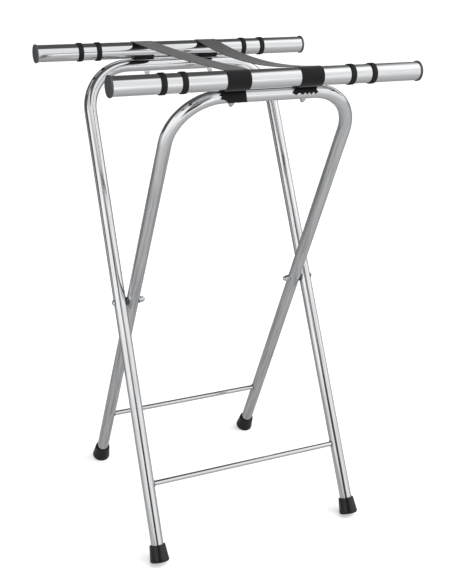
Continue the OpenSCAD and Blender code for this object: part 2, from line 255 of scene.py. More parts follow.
@dataclass(frozen=True)
class ChromePlate:
    """Bright nickel-chrome plate over drawn and polished steel tube.

    The plate is mirror bright, and what the eye sees on it is the room: crisp bands that waver a
    little, because the tube under the plate is never quite straight. Polishing leaves very fine
    lines along the tube, hands leave faint cloudy patches, and thin plate shows as greyer
    streaks, the film. Both lines and streaks run along the straight tube and end at the bend.

    The turn stands the pattern along the tube, polish is the roughness of clean plate, and
    straight is how far up the tube, in metres, its straight part ends.
    """

    name: str
    turn: Euler
    tint: str = "#e6e7e9"
    film: str = "#bcbdbf"
    polish: float = 0.085
    straight: float = 9.0  # past any bar's end, as a grip bar has no bend

    def build(self) -> bpy.types.Material:
        """Builds the material.

        Returns:
            The finished material.
        """
        material, graph = new_material(self.name)
        place = graph.add("ShaderNodeTexCoord")
        upright = graph.add(
            "ShaderNodeMapping",
            {"vector_type": "TEXTURE"},
            Vector=place.outputs["Object"],
            Rotation=self.turn,
        )
        height = graph.add("ShaderNodeSeparateXYZ", Vector=upright).outputs["Z"]
        # polishing lines 0.5 mm apart, drawn out to 40 mm
        lines = graph.add("ShaderNodeMapping", Vector=upright, Scale=(900, 900, 12))
        fine = graph.add(
            "ShaderNodeTexNoise", Vector=lines, Scale=1.0, Detail=2.0, Roughness=0.6
        )
        # hand marks, 30 mm across
        cloud = graph.add(
            "ShaderNodeTexNoise", Vector=upright, Scale=33.0, Detail=4.0, Roughness=0.55
        )
        dull = graph.add(
            "ShaderNodeMapRange",
            Value=cloud.outputs["Fac"],
            From_Min=0.52,
            From_Max=0.75,
            To_Min=self.polish,
            To_Max=self.polish + 0.075,
        )
        rough = graph.add(
            "ShaderNodeMath",
            {"operation": "MULTIPLY_ADD"},
            i0=fine.outputs["Fac"],
            i1=0.03,
            i2=dull,
        )
        shader = graph.add(
            "ShaderNodeBsdfPrincipled",
            Base_Color=self._streaked(graph, upright, height),
            Metallic=1.0,
            Roughness=rough,
            Normal=self._relief(graph, upright, height, fine.outputs["Fac"]),
        )
        close_surface(graph, shader)
        return material

    def _streaked(
        self, graph: Graph, upright: bpy.types.Node, height: bpy.types.NodeSocket
    ) -> bpy.types.NodeSocket:
        """The plate's colour, greyer in streaks where it is thin.

        Args:
            graph: The material's graph.
            upright: The node with the place, turned so that Z runs along the tube.
            height: The distance along the tube.

        Returns:
            The colour.
        """
        # thin plate over the marks of drawing, in streaks 4 mm wide that run for 90 mm and end
        # within 50 mm past the start of the bend
        drawn = graph.add("ShaderNodeMapping", Vector=upright, Scale=(240, 240, 11))
        streak = graph.add(
            "ShaderNodeTexNoise", Vector=drawn, Scale=1.0, Detail=3.0, Roughness=0.6
        )
        bent = graph.add(
            "ShaderNodeMapRange",
            Value=height,
            From_Min=self.straight,
            From_Max=self.straight + mm(50),
            To_Min=0.72,
            To_Max=3.0,
        )
        thin = graph.add(
            "ShaderNodeMapRange", Value=streak.outputs["Fac"], From_Min=0.42, From_Max=bent
        )
        plate = graph.add(
            "ShaderNodeMix",
            {"data_type": "RGBA"},
            i0=thin,
            i6=linear(self.tint),
            i7=linear(self.film),
        )
        return plate.outputs["Result"]

    def _relief(
        self,
        graph: Graph,
        upright: bpy.types.Node,
        height: bpy.types.NodeSocket,
        fine: bpy.types.NodeSocket,
    ) -> bpy.types.Node:
        """The waver of the tube and the polishing lines on it.

        Args:
            graph: The material's graph.
            upright: The node with the place, turned so that Z runs along the tube.
            height: The distance along the tube.
            fine: The pattern of the polishing lines.

        Returns:
            The node with the bent normal.
        """
        # waves about 60 mm long along the tube and 20 mm across it
        along = graph.add("ShaderNodeMapping", Vector=upright, Scale=(50, 50, 16))
        waver = graph.add(
            "ShaderNodeTexNoise", Vector=along, Scale=1.0, Detail=1.5, Roughness=0.45
        )
        waved = graph.add(
            "ShaderNodeBump", Height=waver.outputs["Fac"], Strength=0.35, Distance=mm(0.35)
        )
        shallow = graph.add(
            "ShaderNodeMapRange",
            Value=height,
            From_Min=self.straight,
            From_Max=self.straight + mm(30),
            To_Min=0.1,
            To_Max=0.0,
        )
        return graph.add(
            "ShaderNodeBump", Height=fine, Strength=shallow, Distance=mm(0.008), Normal=waved
        )


@dataclass(frozen=True)
class Weld:
    """The bead of a gas-shielded weld, plated over with the frame.

    The bead is rippled and dull, and the plate is thin and brownish grey in its hollows.
    """

    name: str = "plated weld bead"

    def build(self) -> bpy.types.Material:
        """Builds the material.

        Returns:
            The finished material.
        """
        material, graph = new_material(self.name)
        place = graph.add("ShaderNodeTexCoord")
        # spatter and ripples 1 to 2 mm across
        grain = graph.add(
            "ShaderNodeTexNoise", Vector=place.outputs["Object"], Scale=700.0, Detail=4.0
        )
        tone = graph.add(
            "ShaderNodeMix",
            {"data_type": "RGBA"},
            i0=grain.outputs["Fac"],
            i6=linear("#5f5c58"),
            i7=linear("#a9a9aa"),
        )
        rough = graph.add(
            "ShaderNodeMapRange", Value=grain.outputs["Fac"], To_Min=0.5, To_Max=0.24
        )
        bump = graph.add(
            "ShaderNodeBump", Height=grain.outputs["Fac"], Strength=0.5, Distance=mm(0.25)
        )
        shader = graph.add(
            "ShaderNodeBsdfPrincipled",
            Base_Color=tone.outputs["Result"],
            Metallic=1.0,
            Roughness=rough,
            Normal=bump,
        )
        close_surface(graph, shader)
        return material


@dataclass(frozen=True)
class ZincPlate:
    """Bright zinc plate on cold-headed screws, nuts and washers.

    It is nearly as bright as the chrome, faintly cloudy, with a very fine grain.
    """

    name: str = "bright zinc plate"
    tint: str = "#eceded"

    def build(self) -> bpy.types.Material:
        """Builds the material.

        Returns:
            The finished material.
        """
        material, graph = new_material(self.name)
        place = graph.add("ShaderNodeTexCoord")
        # plating grain of 0.4 mm, and clouds 5 mm across
        grain = graph.add(
            "ShaderNodeTexNoise", Vector=place.outputs["Object"], Scale=2500.0, Detail=3.0
        )
        wear = graph.add(
            "ShaderNodeTexNoise", Vector=place.outputs["Object"], Scale=220.0, Detail=5.0
        )
        tone = graph.add(
            "ShaderNodeMix",
            {"data_type": "RGBA"},
            i0=wear.outputs["Fac"],
            i6=linear("#b4b6b8"),
            i7=linear(self.tint),
        )
        rough = graph.add(
            "ShaderNodeMapRange", Value=grain.outputs["Fac"], To_Min=0.06, To_Max=0.18
        )
        bump = graph.add(
            "ShaderNodeBump", Height=grain.outputs["Fac"], Strength=0.15, Distance=mm(0.01)
        )
        shader = graph.add(
            "ShaderNodeBsdfPrincipled",
            Base_Color=tone.outputs["Result"],
            Metallic=1.0,
            Roughness=rough,
            Normal=bump,
        )
        close_surface(graph, shader)
        return material


@dataclass(frozen=True)
class Moulding:
    """A moulded rubber or plastic piece.

    The mould leaves a fine even grain with a soft sheen, handling polishes it in patches, and
    dust settles pale in the grain.
    """

    name: str
    colour: str
    dust: str
    roughness: float
    grain_mm: float
    grain_depth_mm: float
    ior: float = 1.5

    def build(self) -> bpy.types.Material:
        """Builds the material.

        Returns:
            The finished material.
        """
        material, graph = new_material(self.name)
        place = graph.add("ShaderNodeTexCoord")
        grain = graph.add(
            "ShaderNodeTexNoise",
            Vector=place.outputs["Object"],
            Scale=1000.0 / self.grain_mm,
            Detail=3.0,
            Roughness=0.6,
        )
        # dust and handling, in patches of 8 to 15 mm
        patches = graph.add(
            "ShaderNodeTexNoise", Vector=place.outputs["Object"], Scale=95.0, Detail=5.0
        )
        dusty = graph.add(
            "ShaderNodeMapRange",
            Value=patches.outputs["Fac"],
            From_Min=0.45,
            From_Max=0.8,
            To_Min=0.0,
            To_Max=0.55,
        )
        tone = graph.add(
            "ShaderNodeMix",
            {"data_type": "RGBA"},
            i0=dusty,
            i6=linear(self.colour),
            i7=linear(self.dust),
        )
        rough = graph.add(
            "ShaderNodeMapRange",
            Value=patches.outputs["Fac"],
            From_Min=0.3,
            From_Max=0.7,
            To_Min=self.roughness - 0.07,
            To_Max=self.roughness + 0.1,
        )
        bump = graph.add(
            "ShaderNodeBump",
            Height=grain.outputs["Fac"],
            Strength=0.6,
            Distance=mm(self.grain_depth_mm),
        )
        shader = graph.add(
            "ShaderNodeBsdfPrincipled",
            Base_Color=tone.outputs["Result"],
            Roughness=rough,
            IOR=self.ior,
            Normal=bump,
        )
        close_surface(graph, shader)
        return material


@dataclass(frozen=True)
class Webbing:
    """Polypropylene webbing, closely woven on a narrow loom.

    Each strand is a flat bundle of glossy filaments, so the cloth is dull face on and silvery at
    a low angle. The pattern runs on the strap's own UV map, in metres: U across, V along.
    """

    name: str = "woven polypropylene webbing"
    colour: str = "#0b0c0d"
    # a lighter colour: painted highlight on the tops of the raised strands, and the tone of worn
    # patches
    highlight_and_wear: str = "#1d1d1f"
    # the cloth's own 1.4 mm strands are too fine to show, so they are drawn at twice the size
    warp_mm: float = 2.8
    weft_mm: float = 2.4

    def build(self) -> bpy.types.Material:
        """Builds the material.

        Returns:
            The finished material.
        """
        material, graph = new_material(self.name)
        place = graph.add("ShaderNodeUVMap", {"uv_map": "webbing"})
        split = graph.add("ShaderNodeSeparateXYZ", Vector=place)
        waves = [
            self._wave(graph, split.outputs[0], self.warp_mm),
            self._wave(graph, split.outputs[1], self.weft_mm),
        ]
        # each strand is a rounded ridge, and the strand on top changes from square to square
        warp, weft = [
            graph.add("ShaderNodeMath", {"operation": "ABSOLUTE"}, i0=wave) for wave in waves
        ]
        squares = graph.add("ShaderNodeMath", {"operation": "MULTIPLY"}, i0=waves[0], i1=waves[1])
        over = graph.add("ShaderNodeMapRange", Value=squares, From_Min=-0.25, From_Max=0.25)
        weave = graph.add("ShaderNodeMix", {"data_type": "FLOAT"}, i0=over, i2=warp, i3=weft)
        # filaments 0.2 mm wide, drawn out to 3 mm, and worn patches 15 mm across
        fibre_place = graph.add("ShaderNodeMapping", Vector=place, Scale=(5000, 350, 1))
        fibre = graph.add("ShaderNodeTexNoise", Vector=fibre_place, Scale=1.0, Detail=3.0)
        fade = graph.add("ShaderNodeTexNoise", Vector=place, Scale=70.0, Detail=4.0)
        height = graph.add(
            "ShaderNodeMath",
            {"operation": "MULTIPLY_ADD"},
            i0=fibre.outputs["Fac"],
            i1=0.35,
            i2=weave.outputs["Result"],
        )
        # the raised strands are painted lighter and the hollows between them darker, a painted
        # highlight and painted shade; worn patches lighten the tone at random
        ridge_highlight = graph.add("ShaderNodeMath", {"operation": "MULTIPLY"}, i0=height, i1=0.75)
        wear_and_painted_light = graph.add(
            "ShaderNodeMath",
            {"operation": "MULTIPLY_ADD"},
            i0=fade.outputs["Fac"],
            i1=0.3,
            i2=ridge_highlight,
        )
        tone = graph.add(
            "ShaderNodeMix",
            {"data_type": "RGBA"},
            i0=wear_and_painted_light,
            i6=linear(self.colour),
            i7=linear(self.highlight_and_wear),
        )
        bump = graph.add("ShaderNodeBump", Height=height, Strength=0.7, Distance=mm(0.28))
        shader = graph.add(
            "ShaderNodeBsdfPrincipled",
            Base_Color=tone.outputs["Result"],
            Roughness=0.7,
            IOR=1.3,
            Sheen_Weight=0.8,
            Sheen_Roughness=0.32,
            Normal=bump,
        )
        close_surface(graph, shader)
        return material

    def _wave(
        self, graph: Graph, way: bpy.types.NodeSocket, pitch_mm: float
    ) -> bpy.types.Node:
        """A wave that crosses zero between one strand and the next.

        Args:
            graph: The material's graph.
            way: The coordinate that the strands cross, in metres.
            pitch_mm: Distance from strand to strand.

        Returns:
            The node with the wave, from -1 to 1.
        """
        turned = graph.add(
            "ShaderNodeMath", {"operation": "MULTIPLY"}, i0=way, i1=math.pi * 1000.0 / pitch_mm
        )
        return graph.add("ShaderNodeMath", {"operation": "SINE"}, i0=turned)


@dataclass
class Finishes:
    """The stand's materials, each built once."""

    outer_tube: bpy.types.Material = field(init=False)
    inner_tube: bpy.types.Material = field(init=False)
    bar_tube: bpy.types.Material = field(init=False)
    weld: bpy.types.Material = field(init=False)
    zinc: bpy.types.Material = field(init=False)
    rubber: bpy.types.Material = field(init=False)
    ring_rubber: bpy.types.Material = field(init=False)
    plastic: bpy.types.Material = field(init=False)
    nylon: bpy.types.Material = field(init=False)
    webbing: bpy.types.Material = field(init=False)

    def __post_init__(self) -> None:
        """Builds every material."""
        # both frames are bent at about this height, measured along their legs
        straight = SIZES.pivot_z * math.cos(SIZES.lean) + SIZES.run_u - SIZES.inner_bend
        # the outer frame's plate is evener than the inner's, and a little duller
        self.outer_tube = ChromePlate(
            "chrome plated leg tube, outer frame",
            Euler((Side.OUTER.turn, 0, 0)),
            film="#d0d1d3",
            polish=0.1,
            straight=straight,
        ).build()
        self.inner_tube = ChromePlate(
            "chrome plated leg tube, inner frame",
            Euler((Side.INNER.turn, 0, 0)),
            straight=straight,
        ).build()
        self.bar_tube = ChromePlate(
            "chrome plated grip bar", Euler((0, math.pi / 2, 0)), film="#dcddde", polish=0.055
        ).build()
        self.weld = Weld().build()
        self.zinc = ZincPlate().build()
        self.rubber = Moulding(
            "moulded black rubber", "#08090a", "#1c1c1c", 0.3, 0.6, 0.03, 1.52
        ).build()
        self.ring_rubber = Moulding(
            "extruded black rubber", "#0f1011", "#262626", 0.6, 0.6, 0.03, 1.4
        ).build()
        self.plastic = Moulding(
            "moulded grey polyethylene", "#4b4d50", "#66686a", 0.42, 0.5, 0.03, 1.51
        ).build()
        self.nylon = Moulding("grey nylon", "#6e6f71", "#828385", 0.38, 0.4, 0.01, 1.53).build()
        self.webbing = Webbing().build()


# Shaping

MERGE_DISTANCE = mm(0.002)
SEAM_DISTANCE = mm(0.005)
CREASE_ANGLE = math.radians(35)


def new_object(name: str, data: bpy.types.ID) -> bpy.types.Object:
    """A new object at the origin.

    Args:
        name: The object's name.
        data: Its mesh, camera or lamp.

    Returns:
        The object, which is in the scene.
    """
    made = bpy.data.objects.new(name, data)
    bpy.context.scene.collection.objects.link(made)
    return made


def mesh_object(
    name: str, mesh: bmesh.types.BMesh, material: bpy.types.Material
) -> bpy.types.Object:
    """A bmesh as an object with its finish.

    Args:
        name: The object's name.
        mesh: The shape, which is used up.
        material: Its finish.

    Returns:
        The object, which is in the scene.
    """
    data = bpy.data.meshes.new(name)
    mesh.to_mesh(data)
    mesh.free()
    data.materials.append(material)
    return new_object(name, data)


@dataclass
class Maker:
    """Turns finished bmeshes into pieces of the stand."""

    finishes: Finishes

    def piece(
        self,
        name: str,
        mesh: bmesh.types.BMesh,
        side: Side,
        material: bpy.types.Material,
        slot: str,
        nodes: Sequence[str] = (),
        leaned: bool = False,
    ) -> bpy.types.Object:
        """Makes a piece that rides on one frame.

        Args:
            name: The piece's name.
            mesh: Its shape, which is used up.
            side: The frame that it rides on.
            material: Its finish.
            slot: The record's material slot, handed on to shell, which does not use it.
            nodes: The CAD nodes that it stands for.
            leaned: Whether the shape is already in the row frame.

        Returns:
            The new object.
        """
        if not leaned:
            bmesh.ops.transform(mesh, matrix=side.matrix, verts=mesh.verts)
        made = self.shell(name, mesh, material, slot, nodes)
        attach(made, side.value)
        return made

    def shell(
        self,
        name: str,
        mesh: bmesh.types.BMesh,
        material: bpy.types.Material,
        slot: str,
        nodes: Sequence[str] = (),
    ) -> bpy.types.Object:
        """Makes a piece that rides on nothing yet.

        Args:
            name: The piece's name.
            mesh: Its shape in the row frame, which is used up.
            material: Its finish.
            slot: The record's material slot; not used.
            nodes: The CAD nodes that it stands for.

        Returns:
            The new object.
        """
        bmesh.ops.recalc_face_normals(mesh, faces=mesh.faces)
        for face in mesh.faces:
            face.smooth = True
        for edge in mesh.edges:
            edge.smooth = edge.calc_face_angle(0.0) < CREASE_ANGLE
        made = mesh_object(name, mesh, material)
        if nodes:
            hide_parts(*nodes)
        LOG.info("%s: %d faces, %s", name, len(made.data.polygons), material.name)
        return made


def lathe(
    outline: Sequence[tuple[float, float]], steps: int = 48, matrix: Matrix | None = None
) -> bmesh.types.BMesh:
    """A shape turned about Z from its outline.

    Args:
        outline: Radius and height of each point, from one pole or rim to the other.
        steps: Faces round the axis.
        matrix: Where the shape goes.

    Returns:
        The closed shape.
    """
    mesh = bmesh.new()
    points = [mesh.verts.new((radius, 0.0, height)) for radius, height in outline]
    edges = [mesh.edges.new(pair) for pair in zip(points, points[1:])]
    bmesh.ops.spin(
        mesh,
        geom=points + edges,
        cent=(0, 0, 0),
        axis=(0, 0, 1),
        angle=2 * math.pi,
        steps=steps,
        use_merge=True,
    )
    bmesh.ops.remove_doubles(mesh, verts=mesh.verts, dist=MERGE_DISTANCE)
    bmesh.ops.transform(mesh, matrix=matrix or Matrix.Identity(4), verts=mesh.verts)
    return mesh


def arc(
    centre: tuple[float, float], radius: float, start: float, end: float, steps: int
) -> list[tuple[float, float]]:
    """Points of an arc in a lathe outline.

    Args:
        centre: Radius and height of the arc's centre.
        radius: The arc's own radius.
        start: First angle in degrees, from straight out.
        end: Last angle in degrees.
        steps: Number of steps.

    Returns:
        The points, both ends included.
    """
    angles = [math.radians(start + (end - start) * i / steps) for i in range(steps + 1)]
    return [(centre[0] + radius * math.cos(a), centre[1] + radius * math.sin(a)) for a in angles]


def joined(parts: Iterable[bmesh.types.BMesh]) -> bmesh.types.BMesh:
    """Several shapes as one, the parts used up.

    Args:
        parts: The shapes.

    Returns:
        One bmesh that holds them all.
    """
    whole = bmesh.new()
    for part in parts:
        data = bpy.data.meshes.new("part")
        part.to_mesh(data)
        part.free()
        whole.from_mesh(data)
        bpy.data.meshes.remove(data)
    return whole


def drawn_out(
    mesh: bmesh.types.BMesh, edges: list[bmesh.types.BMEdge], way: Vector, steps: int
) -> list[bmesh.types.BMEdge]:
    """Draws a ring of edges out in equal steps.

    Args:
        mesh: The bmesh.
        edges: The ring.
        way: How far it goes in all.
        steps: Number of steps.

    Returns:
        The last ring.
    """
    for _ in range(steps):
        out = bmesh.ops.extrude_edge_only(mesh, edges=edges)["geom"]
        rim = {v for v in out if isinstance(v, bmesh.types.BMVert)}
        bmesh.ops.translate(mesh, verts=list(rim), vec=way / steps)
        lines = [e for e in out if isinstance(e, bmesh.types.BMEdge)]
        edges = [e for e in lines if all(v in rim for v in e.verts)]
    return edges


def capped_circle(
    segments: int, radius: float, place: Matrix
) -> tuple[bmesh.types.BMesh, list[bmesh.types.BMEdge]]:
    """A filled circle, the closed end of a tube that is drawn out from it.

    Args:
        segments: Its number of sides.
        radius: Its radius.
        place: Its placing.

    Returns:
        The new bmesh and the circle's edges.
    """
    mesh = bmesh.new()
    bmesh.ops.create_circle(
        mesh, cap_ends=True, segments=segments, radius=radius, matrix=place
    )
    return mesh, mesh.edges[:]


def along_x(x: float, matrix: Matrix | None = None, flip: bool = False) -> Matrix:
    """A placing that turns a lathe's Z axis along X.

    Args:
        x: Distance along X.
        matrix: A placing to apply after it.
        flip: Whether the shape points to -X.

    Returns:
        The placing.
    """
    turn = Matrix.Rotation(-math.pi / 2 if flip else math.pi / 2, 4, "Y")
    return (matrix or Matrix.Identity(4)) @ Matrix.Translation((x, 0, 0)) @ turn


# The bent frames


@dataclass
class BentFrame:
    """One tube bent to an upside-down U, its welded cross rod and its two feet."""

    maker: Maker
    side: Side
    half: float
    splay: float
    bend: float
    feet: tuple[str, str]
    rod_r: float = mm(4.25)
    weld_leg: float = mm(2.0)
    ripples: int = 26
    ripple: float = 0.13
    lump: float = 0.12
    foot_h: float = mm(28)
    foot_low_r: float = mm(16)
    foot_top_r: float = mm(13.2)

    def build(self) -> None:
        """Builds the tube, the rod, its welds and the feet."""
        finishes, side, word = self.maker.finishes, self.side, self.side.word
        tube = finishes.outer_tube if side is Side.OUTER else finishes.inner_tube
        piece = self.maker.piece
        piece(f"{word}_bent_tube", self.tube(), side, tube, "chrome_tube", [f"{word}_leg_tube"])
        rod = self.rod()
        piece(f"{word}_rod", rod, side, finishes.bar_tube, "bright_rod", [f"{word}_cross_rod"])
        for sign, hand in HANDS:
            piece(f"{word}_rod_{hand}_weld", self.weld(sign), side, finishes.weld, "bright_rod")
        for (sign, _), foot in zip(HANDS, self.feet):
            piece(
                f"{foot}_ferrule",
                self.foot(sign),
                side,
                finishes.rubber,
                "black_rubber",
                [foot],
                leaned=True,
            )

    def leg_x(self, u: float) -> float:
        """Distance from the middle to the leg's axis, u above the pivot."""
        return self.half - u * math.tan(self.splay)

    def leg_place(self, u: float, sign: int) -> Matrix:
        """The placing of a leg's cross-section, with Z along the leg."""
        placed = Matrix.Translation((self.leg_x(u), 0, u)) @ Matrix.Rotation(-self.splay, 4, "Y")
        return placed if sign > 0 else Matrix.Diagonal((-1, 1, 1, 1)) @ placed

    def tube(self) -> bmesh.types.BMesh:
        """The bent tube, drawn as one half and mirrored.

        Returns:
            The tube's shape.
        """
        low = SIZES.foot_floor - SIZES.reach_down
        bend_u = SIZES.run_u - self.bend
        bend_x = self.leg_x(bend_u) - self.bend / math.cos(self.splay)
        mesh, edges = capped_circle(56, SIZES.leg_r, self.leg_place(low, 1))
        top = bend_u + self.bend * math.sin(self.splay)
        rise = (top - low) / math.cos(self.splay)
        way = Vector((-math.sin(self.splay), 0, math.cos(self.splay)))
        edges = drawn_out(mesh, edges, way * rise, 16)
        turned = bmesh.ops.spin(
            mesh,
            geom=edges,
            cent=(bend_x, 0, bend_u),
            axis=(0, -1, 0),
            angle=math.pi / 2 - self.splay,
            steps=36,
        )["geom_last"]
        edges = [e for e in turned if isinstance(e, bmesh.types.BMEdge)]
        drawn_out(mesh, edges, Vector((-bend_x, 0, 0)), 6)
        bmesh.ops.mirror(
            mesh,
            geom=mesh.verts[:] + mesh.edges[:] + mesh.faces[:],
            merge_dist=SEAM_DISTANCE,
            axis="X",
        )
        return mesh

    def rod(self) -> bmesh.types.BMesh:
        """The cross rod, from just inside one leg's wall to the other's.

        Returns:
            The rod's shape.
        """
        u = SIZES.rod_up - SIZES.reach_down
        reach = self.leg_x(u) - SIZES.leg_r + mm(1.0)
        place = Matrix.Translation((-reach, 0, u)) @ Matrix.Rotation(math.pi / 2, 4, "Y")
        mesh, edges = capped_circle(40, self.rod_r, place)
        last = drawn_out(mesh, edges, Vector((2 * reach, 0, 0)), 12)
        bmesh.ops.contextual_create(mesh, geom=last)
        return mesh

    def weld(self, sign: int) -> bmesh.types.BMesh:
        """The rippled bead where the rod meets a leg.

        Args:
            sign: 1 for the right leg and -1 for the left.

        Returns:
            The bead's shape.
        """
        u = SIZES.rod_up - SIZES.reach_down
        # the bead's round section is wider than its leg, and a little flat along the rod
        bead = self.weld_leg * 0.62
        section = [(self.rod_r + r * 0.9, z) for r, z in arc((0.0, 0.0), bead, 0, 360, 14)]
        mesh = lathe(section, 96)
        leg_r = SIZES.leg_r
        for vert in mesh.verts:
            angle = math.atan2(vert.co.y, vert.co.x)
            radius = math.hypot(vert.co.x, vert.co.y)
            # the bead follows the leg's round wall and ripples as it was laid, 1.1 mm apart
            ripple = self.ripple * abs(math.sin(angle * self.ripples / 2))
            lumps = Vector((math.cos(angle), math.sin(angle), sign * 3.0)) * 2.5
            swell = 1.0 + ripple + self.lump * noise.noise(lumps)
            out = self.rod_r + (radius - self.rod_r) * swell
            across = out * math.sin(angle)
            sink = leg_r - math.sqrt(max(leg_r * leg_r - across * across, 0.0))
            vert.co = Vector((out * math.cos(angle), across, vert.co.z * swell + sink))
        wall = self.leg_x(u) - leg_r
        place = Matrix.Translation((sign * (wall - mm(0.2)), 0, u)) @ Matrix.Rotation(
            sign * math.pi / 2, 4, "Y"
        )
        bmesh.ops.transform(mesh, matrix=place, verts=mesh.verts)
        return mesh

    def foot(self, sign: int) -> bmesh.types.BMesh:
        """A rubber ferrule, cut flat where it stands on the floor.

        Args:
            sign: 1 for the right leg and -1 for the left.

        Returns:
            The foot's shape, in the row frame.
        """
        low, top, high = self.foot_low_r, self.foot_top_r, self.foot_h
        bore = SIZES.leg_r + mm(0.02)
        lip, dish, hollow, socket = mm(0.9), mm(1.0), mm(0.18), mm(8)
        round_r = SIZES.foot_round
        side = [
            (
                low + (top - low) * t - hollow * math.sin(math.pi * t),
                round_r + (high - round_r) * t,
            )
            for t in (0.12, 0.3, 0.5, 0.7, 0.86)
        ]
        sole = (
            [(0.0, dish), (mm(5.2), dish), (mm(5.6), mm(0.4)), (mm(6.0), mm(0.4))]
            + [(mm(6.4), dish), (mm(8.8), dish), (mm(9.2), 0.0)]
            + arc((SIZES.foot_edge_r, round_r), round_r, -90, 0, 8)
        )
        mouth = arc((top - lip, high - lip), lip, 0, 90, 5) + [
            (bore + mm(0.5), high),
            (bore, high - mm(0.6)),
            (bore, high - socket),
            (0.0, high - socket),
        ]
        place = self.side.matrix @ self.leg_place(-SIZES.reach_down, sign)
        mesh = lathe(sole + side + mouth, 64, place)
        cut = bmesh.ops.bisect_plane(
            mesh,
            geom=mesh.verts[:] + mesh.edges[:] + mesh.faces[:],
            plane_co=(0, 0, 0),
            plane_no=(0, 0, 1),
            clear_inner=True,
        )["geom_cut"]
        rim = [e for e in cut if isinstance(e, bmesh.types.BMEdge)]
        bmesh.ops.holes_fill(mesh, edges=rim, sides=0)
        return mesh


# The bars, their plugs and rings

BAR_SIDES = 72


@dataclass
class GripBar:
    """A bar with its end plugs and its four rubber rings."""

    maker: Maker
    side: Side
    word: str
    wall: float = mm(1.2)
    plug_r: float = mm(15.4)
    plug_stem: float = mm(16)
    rib_pitch: float = mm(4)
    rings: tuple[tuple[str, float], ...] = (
        ("left_outer", mm(-174)),
        ("left_inner", mm(-142.5)),
        ("right_inner", mm(127.5)),
        ("right_outer", mm(164)),
    )
    ring_w: float = mm(8.8)
    ring_t: float = mm(1.6)

    def build(self) -> None:
        """Builds the bar, the plugs and the rings."""
        finishes, side, word = self.maker.finishes, self.side, self.word
        piece = self.maker.piece
        piece(
            f"{word}_grip_bar", self.bar(), side, finishes.bar_tube, "chrome_tube", [f"{word}_bar"]
        )
        for sign, hand in HANDS:
            piece(
                f"{word}_{hand}_end_plug",
                self.plug(sign),
                side,
                finishes.plastic,
                "grey_plastic",
                [f"{word}_bar_{hand}_plug"],
            )
        for place, x in self.rings:
            piece(
                f"{word}_{place}_grip_ring",
                self.ring(x),
                side,
                finishes.ring_rubber,
                "black_rubber",
                [f"{word}_ring_{place}"],
            )

    @property
    def place(self) -> Matrix:
        """The bar's own place on its frame."""
        return Matrix.Translation((0, 0, SIZES.reach_up))

    def bar(self) -> bmesh.types.BMesh:
        """The bar tube with its wall, edges eased at the ends.

        Returns:
            The bar's shape.
        """
        half = SIZES.bar_len / 2 - SIZES.plug_flange_t
        outer, inner = SIZES.bar_r, SIZES.bar_r - self.wall
        ease = mm(0.25)
        rows = [half * (-1 + i / 8) for i in range(1, 16)]
        outline = (
            [(inner, half), (outer - ease, half), (outer, half - ease)]
            + [(outer, -row) for row in rows]
            + [(outer, ease - half), (outer - ease, -half), (inner, -half), (inner, half)]
        )
        return lathe(outline, BAR_SIDES, along_x(0, self.place))

    def plug(self, sign: int) -> bmesh.types.BMesh:
        """An end plug: a dished flange and a ribbed stem.

        Args:
            sign: 1 for the right end and -1 for the left.

        Returns:
            The plug's shape.
        """
        flange, thick = self.plug_r, SIZES.plug_flange_t
        stem = SIZES.bar_r - self.wall - mm(0.5)
        ease = mm(0.7)
        dish = mm(0.35)
        outline = (
            [(0.0, -dish), (flange - mm(3.4), -dish)]
            + arc((flange - mm(2.2), -mm(0.25)), mm(0.25), 180, 90, 3)
            + arc((flange - ease, -ease), ease, 90, 0, 5)
            + [(flange, mm(0.3) - thick), (flange - mm(0.3), -thick), (stem, -thick)]
        )
        for rib in range(1, 4):
            middle = -thick - rib * self.rib_pitch
            outline += [
                (stem, middle + mm(0.5)),
                (stem + mm(0.45), middle + mm(0.25)),
                (stem + mm(0.45), middle - mm(0.25)),
                (stem, middle - mm(0.5)),
            ]
        end = -thick - self.plug_stem
        outline += [(stem, end), (stem - mm(2), end), (stem - mm(2), -thick), (0.0, -thick)]
        place = along_x(sign * SIZES.bar_len / 2, self.place, flip=sign < 0)
        return lathe(outline, BAR_SIDES, place)

    def ring(self, x: float) -> bmesh.types.BMesh:
        """A rubber ring, barrelled, with eased edges.

        Args:
            x: Its place along the bar.

        Returns:
            The ring's shape.
        """
        bore, top, half = SIZES.bar_r + mm(0.03), SIZES.bar_r + self.ring_t, self.ring_w / 2
        ease = self.ring_t * 0.55
        crown = mm(0.12)
        outline = (
            [(bore, -half + mm(0.15)), (bore + mm(0.2), -half)]
            + arc((top - ease - crown, ease - half), ease, -90, 0, 5)
            + [(top - crown * 0.4, -half * 0.45), (top, 0.0), (top - crown * 0.4, half * 0.45)]
            + arc((top - ease - crown, half - ease), ease, 0, 90, 5)
            + [(bore + mm(0.2), half), (bore, half - mm(0.15)), (bore, -half + mm(0.15))]
        )
        return lathe(outline, BAR_SIDES, along_x(x, self.place))


# Screws, nuts and the pivots


